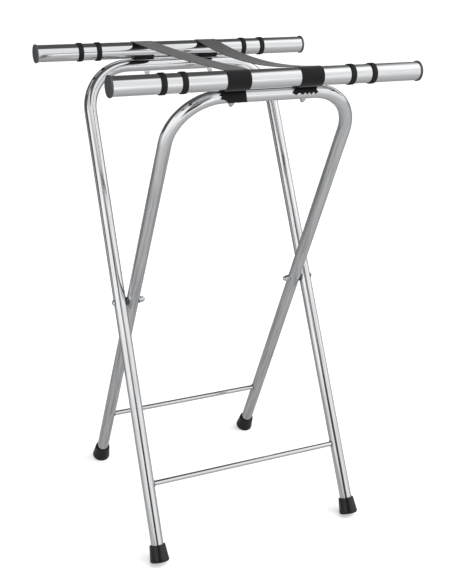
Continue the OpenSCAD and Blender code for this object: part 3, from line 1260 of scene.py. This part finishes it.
@dataclass
class Fasteners:
    """The cap nuts under the top runs, and the bolts, washers and nuts of the pivots."""

    maker: Maker
    nut_af: float = mm(8)
    nut_h: float = mm(9)
    bolt_head_r: float = mm(5)
    bolt_head_h: float = mm(3.5)
    bolt_r: float = mm(3)
    spacer_r: float = mm(7.5)
    washer_r: float = mm(6)
    washer_t: float = mm(1)
    pivot_nut_af: float = mm(10)
    pivot_nut_h: float = mm(10)
    hex_share: float = 0.42
    chamfer_share: float = 0.045

    def build(self) -> None:
        """Builds every fastener that shows."""
        zinc = self.maker.finishes.zinc
        face = SIZES.run_u - SIZES.leg_r
        for side, word in ((Side.OUTER, "rear"), (Side.INNER, "front")):
            nuts = [
                self.cap_nut(
                    self.nut_af,
                    self.nut_h,
                    Matrix.Translation((sign * SIZES.screw_x, 0, face))
                    @ Matrix.Rotation(math.pi, 4, "X")
                    @ Matrix.Rotation(math.radians(17 + 23 * sign), 4, "Z"),  # as tightened
                    pointed=True,
                )
                for sign, _ in HANDS
            ]
            self.maker.piece(
                f"{word}_bar_nuts",
                joined(nuts),
                side,
                zinc,
                "plated_steel",
                [f"{word}_bar_cap_nuts"],
            )
        self.pivots()

    def pivots(self) -> None:
        """The two pivots: domed bolts, washers and cap nuts."""
        zinc, nylon = self.maker.finishes.zinc, self.maker.finishes.nylon
        inner_face = SIZES.inner_half - SIZES.leg_r - SIZES.side_play
        outer_face = SIZES.outer_half + SIZES.leg_r
        nut_face = inner_face - self.washer_t
        spacer_face = SIZES.inner_half + SIZES.leg_r + SIZES.side_play
        base = Matrix.Translation((0, 0, SIZES.pivot_z))
        shank_start = nut_face - mm(5)
        bolts = [
            self.bolt(shank_start, outer_face, Matrix.Diagonal((sign, 1, 1, 1)) @ base)
            for sign, _ in HANDS
        ]
        spacers = [
            self.washer(self.spacer_r, SIZES.spacer_t, self._mirrored(sign, base, spacer_face))
            for sign, _ in HANDS
        ]
        washers = [
            self.washer(self.washer_r, self.washer_t, self._mirrored(sign, base, nut_face))
            for sign, _ in HANDS
        ]
        nuts = [
            self.cap_nut(
                self.pivot_nut_af,
                self.pivot_nut_h,
                Matrix.Diagonal((sign, 1, 1, 1))
                @ along_x(nut_face, base, flip=True)
                @ Matrix.Rotation(math.radians(12), 4, "Z"),
            )
            for sign, _ in HANDS
        ]
        for name, shapes, finish, slot, node in (
            ("pivot_bolt_heads", bolts, zinc, "plated_steel", "pivot_bolts"),
            ("pivot_leg_washers", spacers, nylon, "nylon", "pivot_spacers"),
            ("pivot_nut_washers", washers, zinc, "plated_steel", "pivot_washers"),
            ("pivot_nuts", nuts, zinc, "plated_steel", "pivot_cap_nuts"),
        ):
            self.maker.piece(name, joined(shapes), Side.OUTER, finish, slot, [node], leaned=True)

    def _mirrored(self, sign: int, base: Matrix, x: float) -> Matrix:
        """The placing of a washer at x on one side."""
        return Matrix.Diagonal((sign, 1, 1, 1)) @ along_x(x, base)

    def bolt(self, start: float, head: float, place: Matrix) -> bmesh.types.BMesh:
        """A bolt with a low domed head.

        Args:
            start: Where its shank starts, along X.
            head: Where its head bears on the leg.
            place: The side's placing.

        Returns:
            The bolt's shape.
        """
        dome = (self.bolt_head_r**2 + self.bolt_head_h**2) / (2 * self.bolt_head_h)
        edge = mm(0.6)
        flat = head - start
        top = flat + self.bolt_head_h
        shoulder = math.degrees(math.asin((dome - edge) / dome)) * 0.2 + 20
        outline = [(0.0, 0.0), (self.bolt_r, 0.0), (self.bolt_r, flat), (self.bolt_head_r, flat)]
        outline += [(self.bolt_head_r, flat + edge * 0.5)]
        outline += arc((0.0, top - dome), dome, shoulder, 90, 9)
        outline[-1] = (0.0, top)
        return lathe(outline, 40, place @ along_x(start))

    def washer(self, radius: float, thick: float, place: Matrix) -> bmesh.types.BMesh:
        """A flat ring with eased edges.

        Args:
            radius: Its outside radius.
            thick: Its thickness.
            place: Its placing.

        Returns:
            The washer's shape.
        """
        bore, ease = self.bolt_r + mm(0.02), mm(0.12)
        outline = [(bore, 0.0), (radius - ease, 0.0), (radius, ease), (radius, thick - ease)]
        outline += [(radius - ease, thick), (bore, thick), (bore, 0.0)]
        return lathe(outline, 40, place)

    def cap_nut(
        self, across: float, height: float, place: Matrix, pointed: bool = False
    ) -> bmesh.types.BMesh:
        """A hexagon nut with a dome.

        Args:
            across: Width across the flats.
            height: Height over the dome.
            place: Its placing, with the bearing face at Z 0.
            pointed: Whether the dome tapers to a blunt point.

        Returns:
            The nut's shape.
        """
        hex_h = height * self.hex_share
        body = bmesh.new()
        bmesh.ops.create_cone(
            body,
            cap_ends=True,
            segments=6,
            radius1=across / math.sqrt(3),
            radius2=across / math.sqrt(3),
            depth=hex_h,
            matrix=Matrix.Translation((0, 0, hex_h / 2)),
        )
        bmesh.ops.bevel(
            body,
            geom=body.edges[:] + body.verts[:],
            offset=across * self.chamfer_share,
            offset_type="OFFSET",
            affect="EDGES",
            segments=3,
            profile=0.5,
            material=-1,
        )
        neck, tip, dome_h = across / 2 - mm(0.5), mm(1.5), height - hex_h
        outline = [(0.0, hex_h * 0.5), (neck + mm(0.2), hex_h * 0.5), (neck + mm(0.2), hex_h)]
        if pointed:
            outline += [(neck, hex_h + mm(0.3)), (neck * 0.93, hex_h + dome_h * 0.3)]
            outline += [(neck * 0.76, hex_h + dome_h * 0.6)]
            outline += arc((0.0, height - tip), tip, 20, 90, 6)
        else:
            outline += arc((0.0, height - neck), neck, 0, 90, 10)
        outline[-1] = (0.0, height)
        whole = joined([body, lathe(outline, 36)])
        bmesh.ops.transform(whole, matrix=place, verts=whole.verts)
        return whole


# The straps


def spot(height: float, radius: float, angle: float) -> Vector:
    """A point on a circle about a bar or tube, seen from the side.

    Args:
        height: Height of the circle's centre.
        radius: The circle's radius.
        angle: Angle from the top towards the front, in radians.

    Returns:
        The point, with X zero.
    """
    return Vector((0, -radius * math.sin(angle), height + radius * math.cos(angle)))


def sweep(height: float, radius: float, start: float, end: float, steps: int) -> list[Vector]:
    """Points along a circle about a bar or tube, seen from the side.

    Args:
        height: Height of the circle's centre.
        radius: The circle's radius.
        start: First angle from the top towards the front, in radians.
        end: Last angle.
        steps: Number of steps.

    Returns:
        The points, both ends included.
    """
    return [spot(height, radius, start + (end - start) * i / steps) for i in range(steps + 1)]


@dataclass
class Strap:
    """One length of webbing, from the cut tail on the front frame to the one on the rear.

    The front tail's flanks are frayed: left_edge and right_edge give lengths from the tip and how
    far the flank stands out there, in mm, to the right if positive. The pinked cut shifts the
    weave as far as cut_reach beyond the tail. The share of the fold that share gives keeps the
    span to each bar's side down to a depth of slip, and brings its two halves together within
    ease of the middle.
    """

    maker: Maker
    word: str
    front_x: float
    rear_x: float
    sag: float
    tail: float
    tooth_w: float
    tooth_h: float
    seed: float
    left_edge: tuple[tuple[float, float], ...]
    right_edge: tuple[tuple[float, float], ...]
    thick: float = mm(0.92)
    seat: float = mm(0.05)
    hem_lap: float = math.radians(27)
    columns: int = 56
    cut_reach: float = mm(11)
    slip: float = mm(24)
    ease: float = mm(16)

    def build(self) -> None:
        """Weaves the strap flat, works out each row's share of the fold, and hangs it."""
        line = self.line()
        rows = self.rows(line)
        name = f"{self.word}_webbing_strap"
        mesh = bmesh.new()
        mesh.loops.layers.uv.new("webbing")
        bmesh.ops.create_grid(mesh, x_segments=self.columns, y_segments=len(rows) - 1, size=0.5)
        web = self.maker.shell(
            name,
            mesh,
            self.maker.finishes.webbing,
            "webbing",
            [f"{self.word}_strap_{part}" for part in ("span", "front_loop", "rear_loop")],
        )
        self._hang(web, rows)
        wall = web.modifiers.new("thickness", "SOLIDIFY")
        wall.thickness = self.thick
        wall.offset = 0.0

    def line(self) -> list[Vector]:
        """The middle line of the webbing, seen from the side.

        Returns:
            Points with X zero in the row frame, from the front tail to the rear one.
        """
        lean = SIZES.lean
        swing = 2 * math.atan(2 * self.sag / SIZES.bar_spacing)
        first = SIZES.bar_r + self.seat + SIZES.strap_t / 2
        second = first + SIZES.strap_t - self.seat
        tail = SIZES.leg_r + (self.seat + SIZES.strap_t) / 2
        hem = math.pi + self.hem_lap
        bar, run = SIZES.reach_up, SIZES.run_u
        down = Vector((0, -math.sin(lean), -math.cos(lean)))
        hang = math.pi / 2 - lean
        half = [spot(run, tail, hang) + down * self.tail * (1 - i / 12) for i in range(12)]
        # up over the tube, into the joint, folded back there, and then round the bar
        half += sweep(run, tail, hang, 0.12, 18)
        half += sweep(bar, second, math.pi + 0.1, hem, 6)
        centre = spot(bar, (first + second) / 2, hem)
        fold = sweep(0.0, (second - first) / 2, hem, hem + math.pi, 6)[1:-1]
        half += [centre + step for step in fold]
        half += sweep(bar, first, hem, -lean - swing, 44)
        front = [Side.INNER.matrix @ point for point in half]
        rear = [Vector((0, -point.y, point.z)) for point in reversed(front)]
        rise = SIZES.bar_spacing / 2 / math.tan(swing)
        hang_r = SIZES.bar_spacing / 2 / math.sin(swing) - first
        middle = [
            Vector((0, hang_r * math.sin(a), SIZES.bar_z + rise - hang_r * math.cos(a)))
            for a in (swing * i / 30 for i in range(-29, 30))
        ]
        return front + middle + rear

    def rows(self, line: list[Vector]) -> list[tuple[float, Vector]]:
        """Length along the webbing and place at each row.

        Args:
            line: The middle line.

        Returns:
            One entry for each row.
        """
        made = [(0.0, line[0])]
        for here, there in zip(line, line[1:]):
            made.append((made[-1][0] + (there - here).length, there))
        return made

    def _hang(self, web: bpy.types.Object, rows: list[tuple[float, Vector]]) -> None:
        """Moves the flat grid's vertices along the middle line.

        Args:
            web: The flat strap.
            rows: The rows, from the front tail to the rear one.
        """
        last = len(rows) - 1
        whole = rows[-1][0]
        data = web.data
        grid = [
            (round((v.co.x + 0.5) * self.columns), round((v.co.y + 0.5) * last))
            for v in data.vertices
        ]
        self._share(web, grid, rows)
        lengths = [row[0] for row in rows]
        zone = self.tail + self.cut_reach
        ends = []
        for vert, (column, row) in zip(data.vertices, grid):
            across = (column / self.columns - 0.5) * SIZES.strap_w
            near = min(lengths[row], whole - lengths[row])
            front = row < last / 2
            cut = self._cut(across, front) * max(1 - near / zone, 0.0)
            length = lengths[row] + (cut if front else -cut)
            place = self._point(rows, lengths, length)
            place.x = self._middle(place.y) + across
            if front:
                place.x += self._flare(across, near)
            vert.co = place
            ends.append((across, length))
        uv = data.uv_layers["webbing"].data
        for loop in data.loops:
            uv[loop.index].uv = ends[loop.vertex_index]

    def _middle(self, y: float) -> float:
        """X of the strap's middle at a distance in front of the pivot or behind it."""
        way = min(max(0.5 + y / SIZES.bar_spacing, 0.0), 1.0)
        return self.front_x + (self.rear_x - self.front_x) * way

    def _point(
        self, rows: list[tuple[float, Vector]], lengths: list[float], length: float
    ) -> Vector:
        """The middle line's point at a length along it.

        Args:
            rows: The rows.
            lengths: Their lengths.
            length: The length that is wanted.

        Returns:
            A new vector.
        """
        after = min(max(bisect.bisect_right(lengths, length), 1), len(rows) - 1)
        here, there = rows[after - 1], rows[after]
        return here[1].lerp(there[1], (length - here[0]) / (there[0] - here[0]))

    def _cut(self, across: float, front: bool) -> float:
        """How far the pinked end stands back from the tail's tip.

        Args:
            across: Distance from the strap's middle.
            front: Whether it is the front tail.

        Returns:
            The distance, in metres.
        """
        edge = across + SIZES.strap_w / 2
        saw = abs(edge / self.tooth_w % 1.0 - 0.5) * 2
        ragged = noise.noise(Vector((edge * 900, self.seed, 0.0 if front else 5.0)))
        return self.tooth_h * saw + mm(0.5) * ragged

    def _flare(self, across: float, near: float) -> float:
        """How far the frayed flank of the front tail pulls a point sideways.

        Args:
            across: The point's distance from the strap's middle.
            near: Its length from the tail's tip.

        Returns:
            The shift in metres, which fades towards the strap's middle.
        """
        edge = self.left_edge if across < 0 else self.right_edge
        fade = max(2 * abs(across) / SIZES.strap_w - 0.35, 0.0) / 0.65
        for (start, first), (end, last) in zip(edge, edge[1:]):
            if mm(start) <= near <= mm(end):
                return mm(first + (last - first) * (near - mm(start)) / mm(end - start)) * fade
        return 0.0

    def _share(
        self,
        web: bpy.types.Object,
        grid: list[tuple[int, int]],
        rows: list[tuple[float, Vector]],
    ) -> None:
        """Writes each row's share of the fold, eased, into the flat strap's vertices as their Y.

        Args:
            web: The flat strap.
            grid: Column and row of each vertex.
            rows: The rows.
        """
        shares = [self.share(point, i < len(rows) / 2) for i, (_, point) in enumerate(rows)]
        for vert, (_, row) in zip(web.data.vertices, grid):
            vert.co = Vector((0, smooth_inverse(shares[row]), 0))
        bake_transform(web)

    def share(self, point: Vector, front: bool) -> float:
        """How much of the fold a point of the strap takes with the rear bar.

        Args:
            point: The point at rest.
            front: Whether it is on the front half of the strap.

        Returns:
            0 where it goes with the front bar and 1 where it stays with the rear one.
        """
        y = point.y if front else -point.y
        if y <= -SIZES.bar_spacing / 2 + mm(0.2) or point.z < SIZES.bar_z - mm(2):
            return 0.0 if front else 1.0
        up = point.z - SIZES.pivot_z
        radius = math.hypot(y, up)
        angle = math.degrees(math.atan2(y, up) + SIZES.lean)
        wrap = SIZES.bar_r + self.seat + SIZES.strap_t / 2 + mm(0.1)
        off = max(radius - SIZES.reach_up, 0.0)
        contour = math.degrees(math.asin(math.sqrt(max(wrap**2 - off**2, 0.0)) / SIZES.reach_up))
        middle = math.degrees(SIZES.lean) - SIZES.fold_degrees / 2
        # the span keeps to the bar's round side, and lower down to the gap between the bars
        deep = min(max((SIZES.reach_up - radius) / self.slip, 0.0), 1.0)
        target = contour + (middle - contour) * deep
        if y > -self.ease:
            target += (middle - target) * (1 + y / self.ease)
        share = min(max((angle - target) / SIZES.fold_degrees, 0.0), 1.0)
        return share if front else 1.0 - share


def smooth_inverse(value: float) -> float:
    """The t at which 3t^2 - 2t^3 has a value.

    Args:
        value: The value, from 0 to 1.

    Returns:
        t, from 0 to 1.
    """
    return 0.5 - math.sin(math.asin(1 - 2 * min(max(value, 0.0), 1.0)) / 3)


# The studio

WHITE = (1.0, 1.0, 1.0, 1.0)


@dataclass
class Studio:
    """A white room with a pale floor, soft lamps and the camera.

    The chrome shows the room that it was photographed in: a bright soft box over the camera's
    right shoulder, a smaller one to its left, the dark gap with the camera between them, and
    unlit room behind the stand and to the left of it. The camera's eye, its axes and its lens,
    in mm for a sensor 36 mm along its longer side, were fitted to the tubes' edges in the
    photograph.
    """

    right: Vector = field(default_factory=lambda: Vector((0.904, -0.4272, 0.0184)))
    up: Vector = field(default_factory=lambda: Vector((0.1321, 0.3197, 0.9383)))
    ahead: Vector = field(default_factory=lambda: Vector((0.4067, 0.8457, -0.3455)))
    lens: float = 61.85
    eye: Vector = field(default_factory=lambda: Vector((-0.6884, -1.4713, 0.59146)))
    floor_levels: tuple[tuple[float, float], ...] = (
        (0.001, 0.9),
        (0.23, 0.76),
        (0.36, 0.6),
        (0.5, 0.52),
        (0.6, 0.42),
        (0.7, 0.36),
        (0.98, 0.23),
    )
    card_peak: float = 1.2

    def build(self) -> None:
        """Builds the floor, the room, the lamps and the camera."""
        self.camera()
        self.floor()
        self.room()
        self.card(
            "left bounce card",
            (-0.86, -1.27),
            (-1.08, 0.1),
            ((0.1, 0.75), (0.42, 1.1), (1.1, 1.15), (1.55, 0.55), (2.1, 0.1)),
        )
        self.card(
            "dark gap by the camera",
            (-0.12, -1.55),
            (-0.86, -1.5),
            ((0.2, 0.06), (0.8, 0.08), (1.0, 0.36), (1.25, 0.3), (1.45, 0.06), (2.3, 0.1)),
        )
        self.skylight()
        self.lamp("right softbox", (1.7, -1.0, 1.9), (1.6, 1.4), 24)

    def camera(self) -> None:
        """The camera, where the photograph was taken from."""
        data = bpy.data.cameras.new("camera")
        data.lens = self.lens
        data.sensor_width = 36.0
        data.sensor_fit = "AUTO"
        data.clip_start, data.clip_end = 0.05, 100.0
        seen = new_object("camera", data)
        turn = Matrix((self.right, self.up, -self.ahead)).transposed()
        at = Vector((0, 0, SIZES.pivot_z)) + self.eye
        seen.matrix_world = Matrix.Translation(at) @ turn.to_quaternion().to_matrix().to_4x4()
        bpy.context.scene.camera = seen

    def floor(self) -> None:
        """A wide pale floor that looks white and keeps the stand's shadow."""
        material, graph = new_material("white paper floor")
        place = graph.add("ShaderNodeTexCoord").outputs["Object"]
        paper = graph.add("ShaderNodeBsdfDiffuse", Color=linear("#d2d3d4"))
        glow = graph.add("ShaderNodeEmission", Color=WHITE, Strength=0.52)
        shown = graph.add("ShaderNodeAddShader", i0=paper, i1=glow)
        # in the chrome the floor is bright in front, where the soft boxes reach it, and falls
        # into shade behind the stand, and it is brighter again towards the left card
        split = graph.add("ShaderNodeSeparateXYZ", Vector=place)
        depth = graph.add(
            "ShaderNodeMapRange", Value=split.outputs[1], From_Min=-2.4, From_Max=1.7
        )
        fall = graph.add("ShaderNodeValToRGB", Fac=depth)
        self.stops(fall.color_ramp, self.floor_levels)
        near_card = self.side_of(graph, place, (-0.8, -0.6, 0.0), 0.3, 1.2)
        level = graph.add(
            "ShaderNodeMath", {"operation": "MULTIPLY_ADD"}, i0=near_card, i1=0.27, i2=fall
        )
        # a patch of painted shade on the floor behind the stand on its left draws the shadow line
        # down the grey legs
        aside = graph.add(
            "ShaderNodeMapping",
            {"vector_type": "TEXTURE"},
            Vector=place,
            Location=(-1.0, 0.7, 0.0),
            Scale=(0.5, 0.32, 1.0),
        )
        reach = graph.add("ShaderNodeVectorMath", {"operation": "LENGTH"}, i0=aside)
        painted_shade_patch = graph.add(
            "ShaderNodeMapRange",
            {"interpolation_type": "SMOOTHSTEP"},
            Value=reach.outputs["Value"],
            From_Min=0.3,
            To_Min=0.45,
        )
        shaded = graph.add("ShaderNodeMath", {"operation": "MULTIPLY"}, i0=level, i1=painted_shade_patch)
        mirrored = graph.add("ShaderNodeEmission", Color=WHITE, Strength=shaded)
        close_surface(graph, self.by_ray(graph, paper, mirrored, shown))
        mesh = bmesh.new()
        bmesh.ops.create_circle(mesh, cap_ends=True, segments=64, radius=40.0)
        mesh_object("studio_floor", mesh, material)

    def room(self) -> None:
        """The white room: plain to the eye, and with its lamps and gaps in the chrome."""
        world = bpy.data.worlds.new("studio room")
        bpy.context.scene.world = world
        world.use_nodes = True
        graph = Graph(world.node_tree)
        way = graph.add("ShaderNodeTexCoord").outputs["Generated"]
        plain, mirrored, white = [
            graph.add("ShaderNodeBackground", Color=WHITE, Strength=level)
            for level in (0.25, self.walls(graph, way), 1.0)
        ]
        seen = self.by_ray(graph, plain, mirrored, white)
        graph.add("ShaderNodeOutputWorld", Surface=seen)

    def by_ray(
        self,
        graph: Graph,
        plain: bpy.types.Node,
        mirrored: bpy.types.Node,
        seen: bpy.types.Node,
    ) -> bpy.types.Node:
        """One surface for the camera, one for what shows in the chrome and one for the light.

        Args:
            graph: The graph.
            plain: The shader that lights the stand.
            mirrored: The shader that shows in the chrome.
            seen: The shader that the camera sees.

        Returns:
            The node with the shader.
        """
        ray = graph.add("ShaderNodeLightPath")
        glossy = graph.add(
            "ShaderNodeMixShader", i0=ray.outputs["Is Glossy Ray"], i1=plain, i2=mirrored
        )
        return graph.add(
            "ShaderNodeMixShader", i0=ray.outputs["Is Camera Ray"], i1=glossy, i2=seen
        )

    def walls(self, graph: Graph, way: bpy.types.NodeSocket) -> bpy.types.Node:
        """How bright the room is in each direction, as the chrome sees it.

        Args:
            graph: The world's graph.
            way: The direction.

        Returns:
            The node with the brightness, where 1 is white.
        """
        # the big soft box over the camera's right shoulder, with the dark ceiling over it
        heart = (0.74, -0.26, 0.62)
        cone = self.side_of(graph, way, heart, 0.5, 0.86)
        front = self.beside(graph, way, (0.616, -0.788, 0.0), 0.743, 0.87)
        core = self.side_of(graph, way, heart, 0.84, 0.96)
        under = self.side_of(graph, way, (-0.2, 0.45, 0.87), 0.78, 0.61)
        ceiling = self.side_of(graph, way, (0.0, 0.0, 1.0), 0.93, 0.85)
        level = graph.add("ShaderNodeMath", {"operation": "MAXIMUM"}, i0=cone, i1=front)
        glare = graph.add("ShaderNodeMath", {"operation": "MULTIPLY"}, i0=core, i1=0.3)
        for operation, second, third in (
            ("MULTIPLY_ADD", 0.86, glare),
            ("MULTIPLY", under, 0.0),
            ("MULTIPLY_ADD", ceiling, 0.1),
        ):
            level = graph.add(
                "ShaderNodeMath", {"operation": operation}, i0=level, i1=second, i2=third
            )
        return level

    def card(
        self,
        name: str,
        start: tuple[float, float],
        end: tuple[float, float],
        levels: Sequence[tuple[float, float]],
    ) -> None:
        """An upright card that only shows in the chrome.

        Args:
            name: The card's name.
            start: X and Y of one upright edge.
            end: X and Y of the other.
            levels: Heights from the lowest to the highest, and how bright the card is there.
        """
        low, high = levels[0][0], levels[-1][0]
        run = Vector((end[0] - start[0], end[1] - start[1], 0))
        middle = Vector(((start[0] + end[0]) / 2, (start[1] + end[1]) / 2, (low + high) / 2))
        mesh = bmesh.new()
        bmesh.ops.create_grid(mesh, x_segments=1, y_segments=1, size=0.5)
        turn = Matrix.Rotation(math.atan2(run.y, run.x), 4, "Z") @ Matrix.Rotation(
            math.pi / 2, 4, "X"
        )
        stretch = Matrix.Diagonal((run.length, high - low, 1, 1))
        bmesh.ops.transform(
            mesh, matrix=Matrix.Translation(middle) @ turn @ stretch, verts=mesh.verts
        )
        material, graph = new_material(name)
        material.cycles.emission_sampling = "NONE"
        place = graph.add("ShaderNodeTexCoord")
        split = graph.add("ShaderNodeSeparateXYZ", Vector=place.outputs["Object"])
        up = graph.add(
            "ShaderNodeMapRange", Value=split.outputs[2], From_Min=low, From_Max=high
        )
        fade = graph.add("ShaderNodeValToRGB", Fac=up)
        peak = self.card_peak
        self.stops(fade.color_ramp, [((h - low) / (high - low), v / peak) for h, v in levels])
        close_surface(graph, graph.add("ShaderNodeEmission", Color=fade, Strength=peak))
        card = mesh_object(name, mesh, material)
        card.visible_camera = False
        card.visible_diffuse = False
        card.visible_transmission = False
        card.visible_shadow = False

    def stops(self, ramp: bpy.types.ColorRamp, levels: Sequence[tuple[float, float]]) -> None:
        """Sets a ramp's greys.

        Args:
            ramp: The ramp.
            levels: Position and grey level of each stop.
        """
        for position, level in levels:
            stop = ramp.elements.new(position)
            stop.color = (level, level, level, 1.0)
        ramp.elements.remove(ramp.elements[0])
        ramp.elements.remove(ramp.elements[-1])

    def side_of(
        self,
        graph: Graph,
        way: bpy.types.NodeSocket,
        axis: tuple[float, float, float],
        dark: float,
        light: float,
    ) -> bpy.types.Node:
        """A soft step from 0 to 1 along an axis of the room.

        Args:
            graph: The graph.
            way: The direction.
            axis: The axis.
            dark: How far along the axis the step starts.
            light: How far along it ends.

        Returns:
            The node with the step.
        """
        along = graph.add("ShaderNodeVectorMath", {"operation": "DOT_PRODUCT"}, i0=way, i1=axis)
        return graph.add(
            "ShaderNodeMapRange",
            {"interpolation_type": "SMOOTHSTEP"},
            Value=along.outputs["Value"],
            From_Min=dark,
            From_Max=light,
        )

    def beside(
        self,
        graph: Graph,
        way: bpy.types.NodeSocket,
        towards: tuple[float, float, float],
        edge: float,
        core: float,
    ) -> bpy.types.Node:
        """1 near a compass direction at any height, and 0 away from it.

        Args:
            graph: The graph.
            way: The direction.
            towards: The compass direction.
            edge: Cosine of the angle where it ends.
            core: Cosine of the angle within which it is full.

        Returns:
            The node with the value.
        """
        flat = graph.add(
            "ShaderNodeVectorMath", {"operation": "MULTIPLY"}, i0=way, i1=(1.0, 1.0, 0.0)
        )
        level = graph.add(
            "ShaderNodeVectorMath", {"operation": "NORMALIZE"}, i0=flat.outputs["Vector"]
        )
        return self.side_of(graph, level.outputs["Vector"], towards, edge, core)

    def skylight(self) -> None:
        """Wide soft light from above and behind the camera, even over the whole floor."""
        data = bpy.data.lights.new("overhead diffusers", "SUN")
        data.energy = 2.3
        data.angle = math.radians(60)
        lamp = new_object("overhead diffusers", data)
        lamp.rotation_euler = Euler((math.radians(24), math.radians(10), 0))
        lamp.visible_glossy = False

    def lamp(
        self, name: str, at: tuple[float, float, float], size: tuple[float, float], watts: float
    ) -> None:
        """A rectangular soft lamp that points at the stand's middle.

        The chrome shows the room's soft boxes and not the lamp itself.

        Args:
            name: The lamp's name.
            at: Where it stands.
            size: Its width and height.
            watts: Its power.
        """
        data = bpy.data.lights.new(name, "AREA")
        data.shape = "RECTANGLE"
        data.size, data.size_y = size
        data.energy = watts
        lamp = new_object(name, data)
        lamp.location = at
        aim = Vector((0, 0, 0.45)) - Vector(at)
        lamp.rotation_mode = "QUATERNION"
        lamp.rotation_quaternion = aim.to_track_quat("-Z", "Y")
        lamp.visible_glossy = False


def main() -> None:
    """Builds the stand, its straps and the studio."""
    logging.basicConfig(level=logging.INFO, format="%(name)s: %(message)s")
    bpy.context.scene.view_settings.view_transform = "Standard"
    Studio().build()
    maker = Maker(Finishes())
    BentFrame(
        maker,
        Side.OUTER,
        half=SIZES.outer_half,
        splay=math.radians(0.65),
        bend=SIZES.outer_bend,
        feet=("front_left_foot", "front_right_foot"),
    ).build()
    BentFrame(
        maker,
        Side.INNER,
        half=SIZES.inner_half,
        splay=math.radians(0.33),
        bend=SIZES.inner_bend,
        feet=("rear_left_foot", "rear_right_foot"),
    ).build()
    GripBar(maker, Side.OUTER, "rear").build()
    GripBar(maker, Side.INNER, "front").build()
    Fasteners(maker).build()
    Strap(
        maker,
        "left",
        front_x=mm(-60.3),
        rear_x=mm(-62.3),
        sag=mm(3),
        tail=mm(9),
        tooth_w=mm(2.2),
        tooth_h=mm(1.1),
        seed=1.7,
        left_edge=(
            ((0, 8), (4, 3.5), (5, 1), (6.6, -4.6), (9.2, -1.6))
            + ((12.2, -6.2), (15, -2.6), (18.5, -8), (22, -1), (24, 0))
        ),
        right_edge=((0, 0.8), (2, 0), (12, -1.2), (24, 0)),
    ).build()
    Strap(
        maker,
        "right",
        front_x=mm(58.2),
        rear_x=mm(57.2),
        sag=mm(14),
        tail=mm(2.8),
        tooth_w=mm(7),
        tooth_h=mm(3.4),
        seed=8.3,
        left_edge=((0, -7), (3, -6.4), (5, -3.6), (7, -4.4), (9, -1.2), (13, 0)),
        right_edge=((0, 0.6), (2.5, -1.8), (6, -4), (13, -1), (15, 0)),
    ).build()
    for node in ("rear_bar_screws", "front_bar_screws"):
        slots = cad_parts[node].data.materials
        slots.clear()
        slots.append(maker.finishes.zinc)


if __name__ == "__main__":
    main()
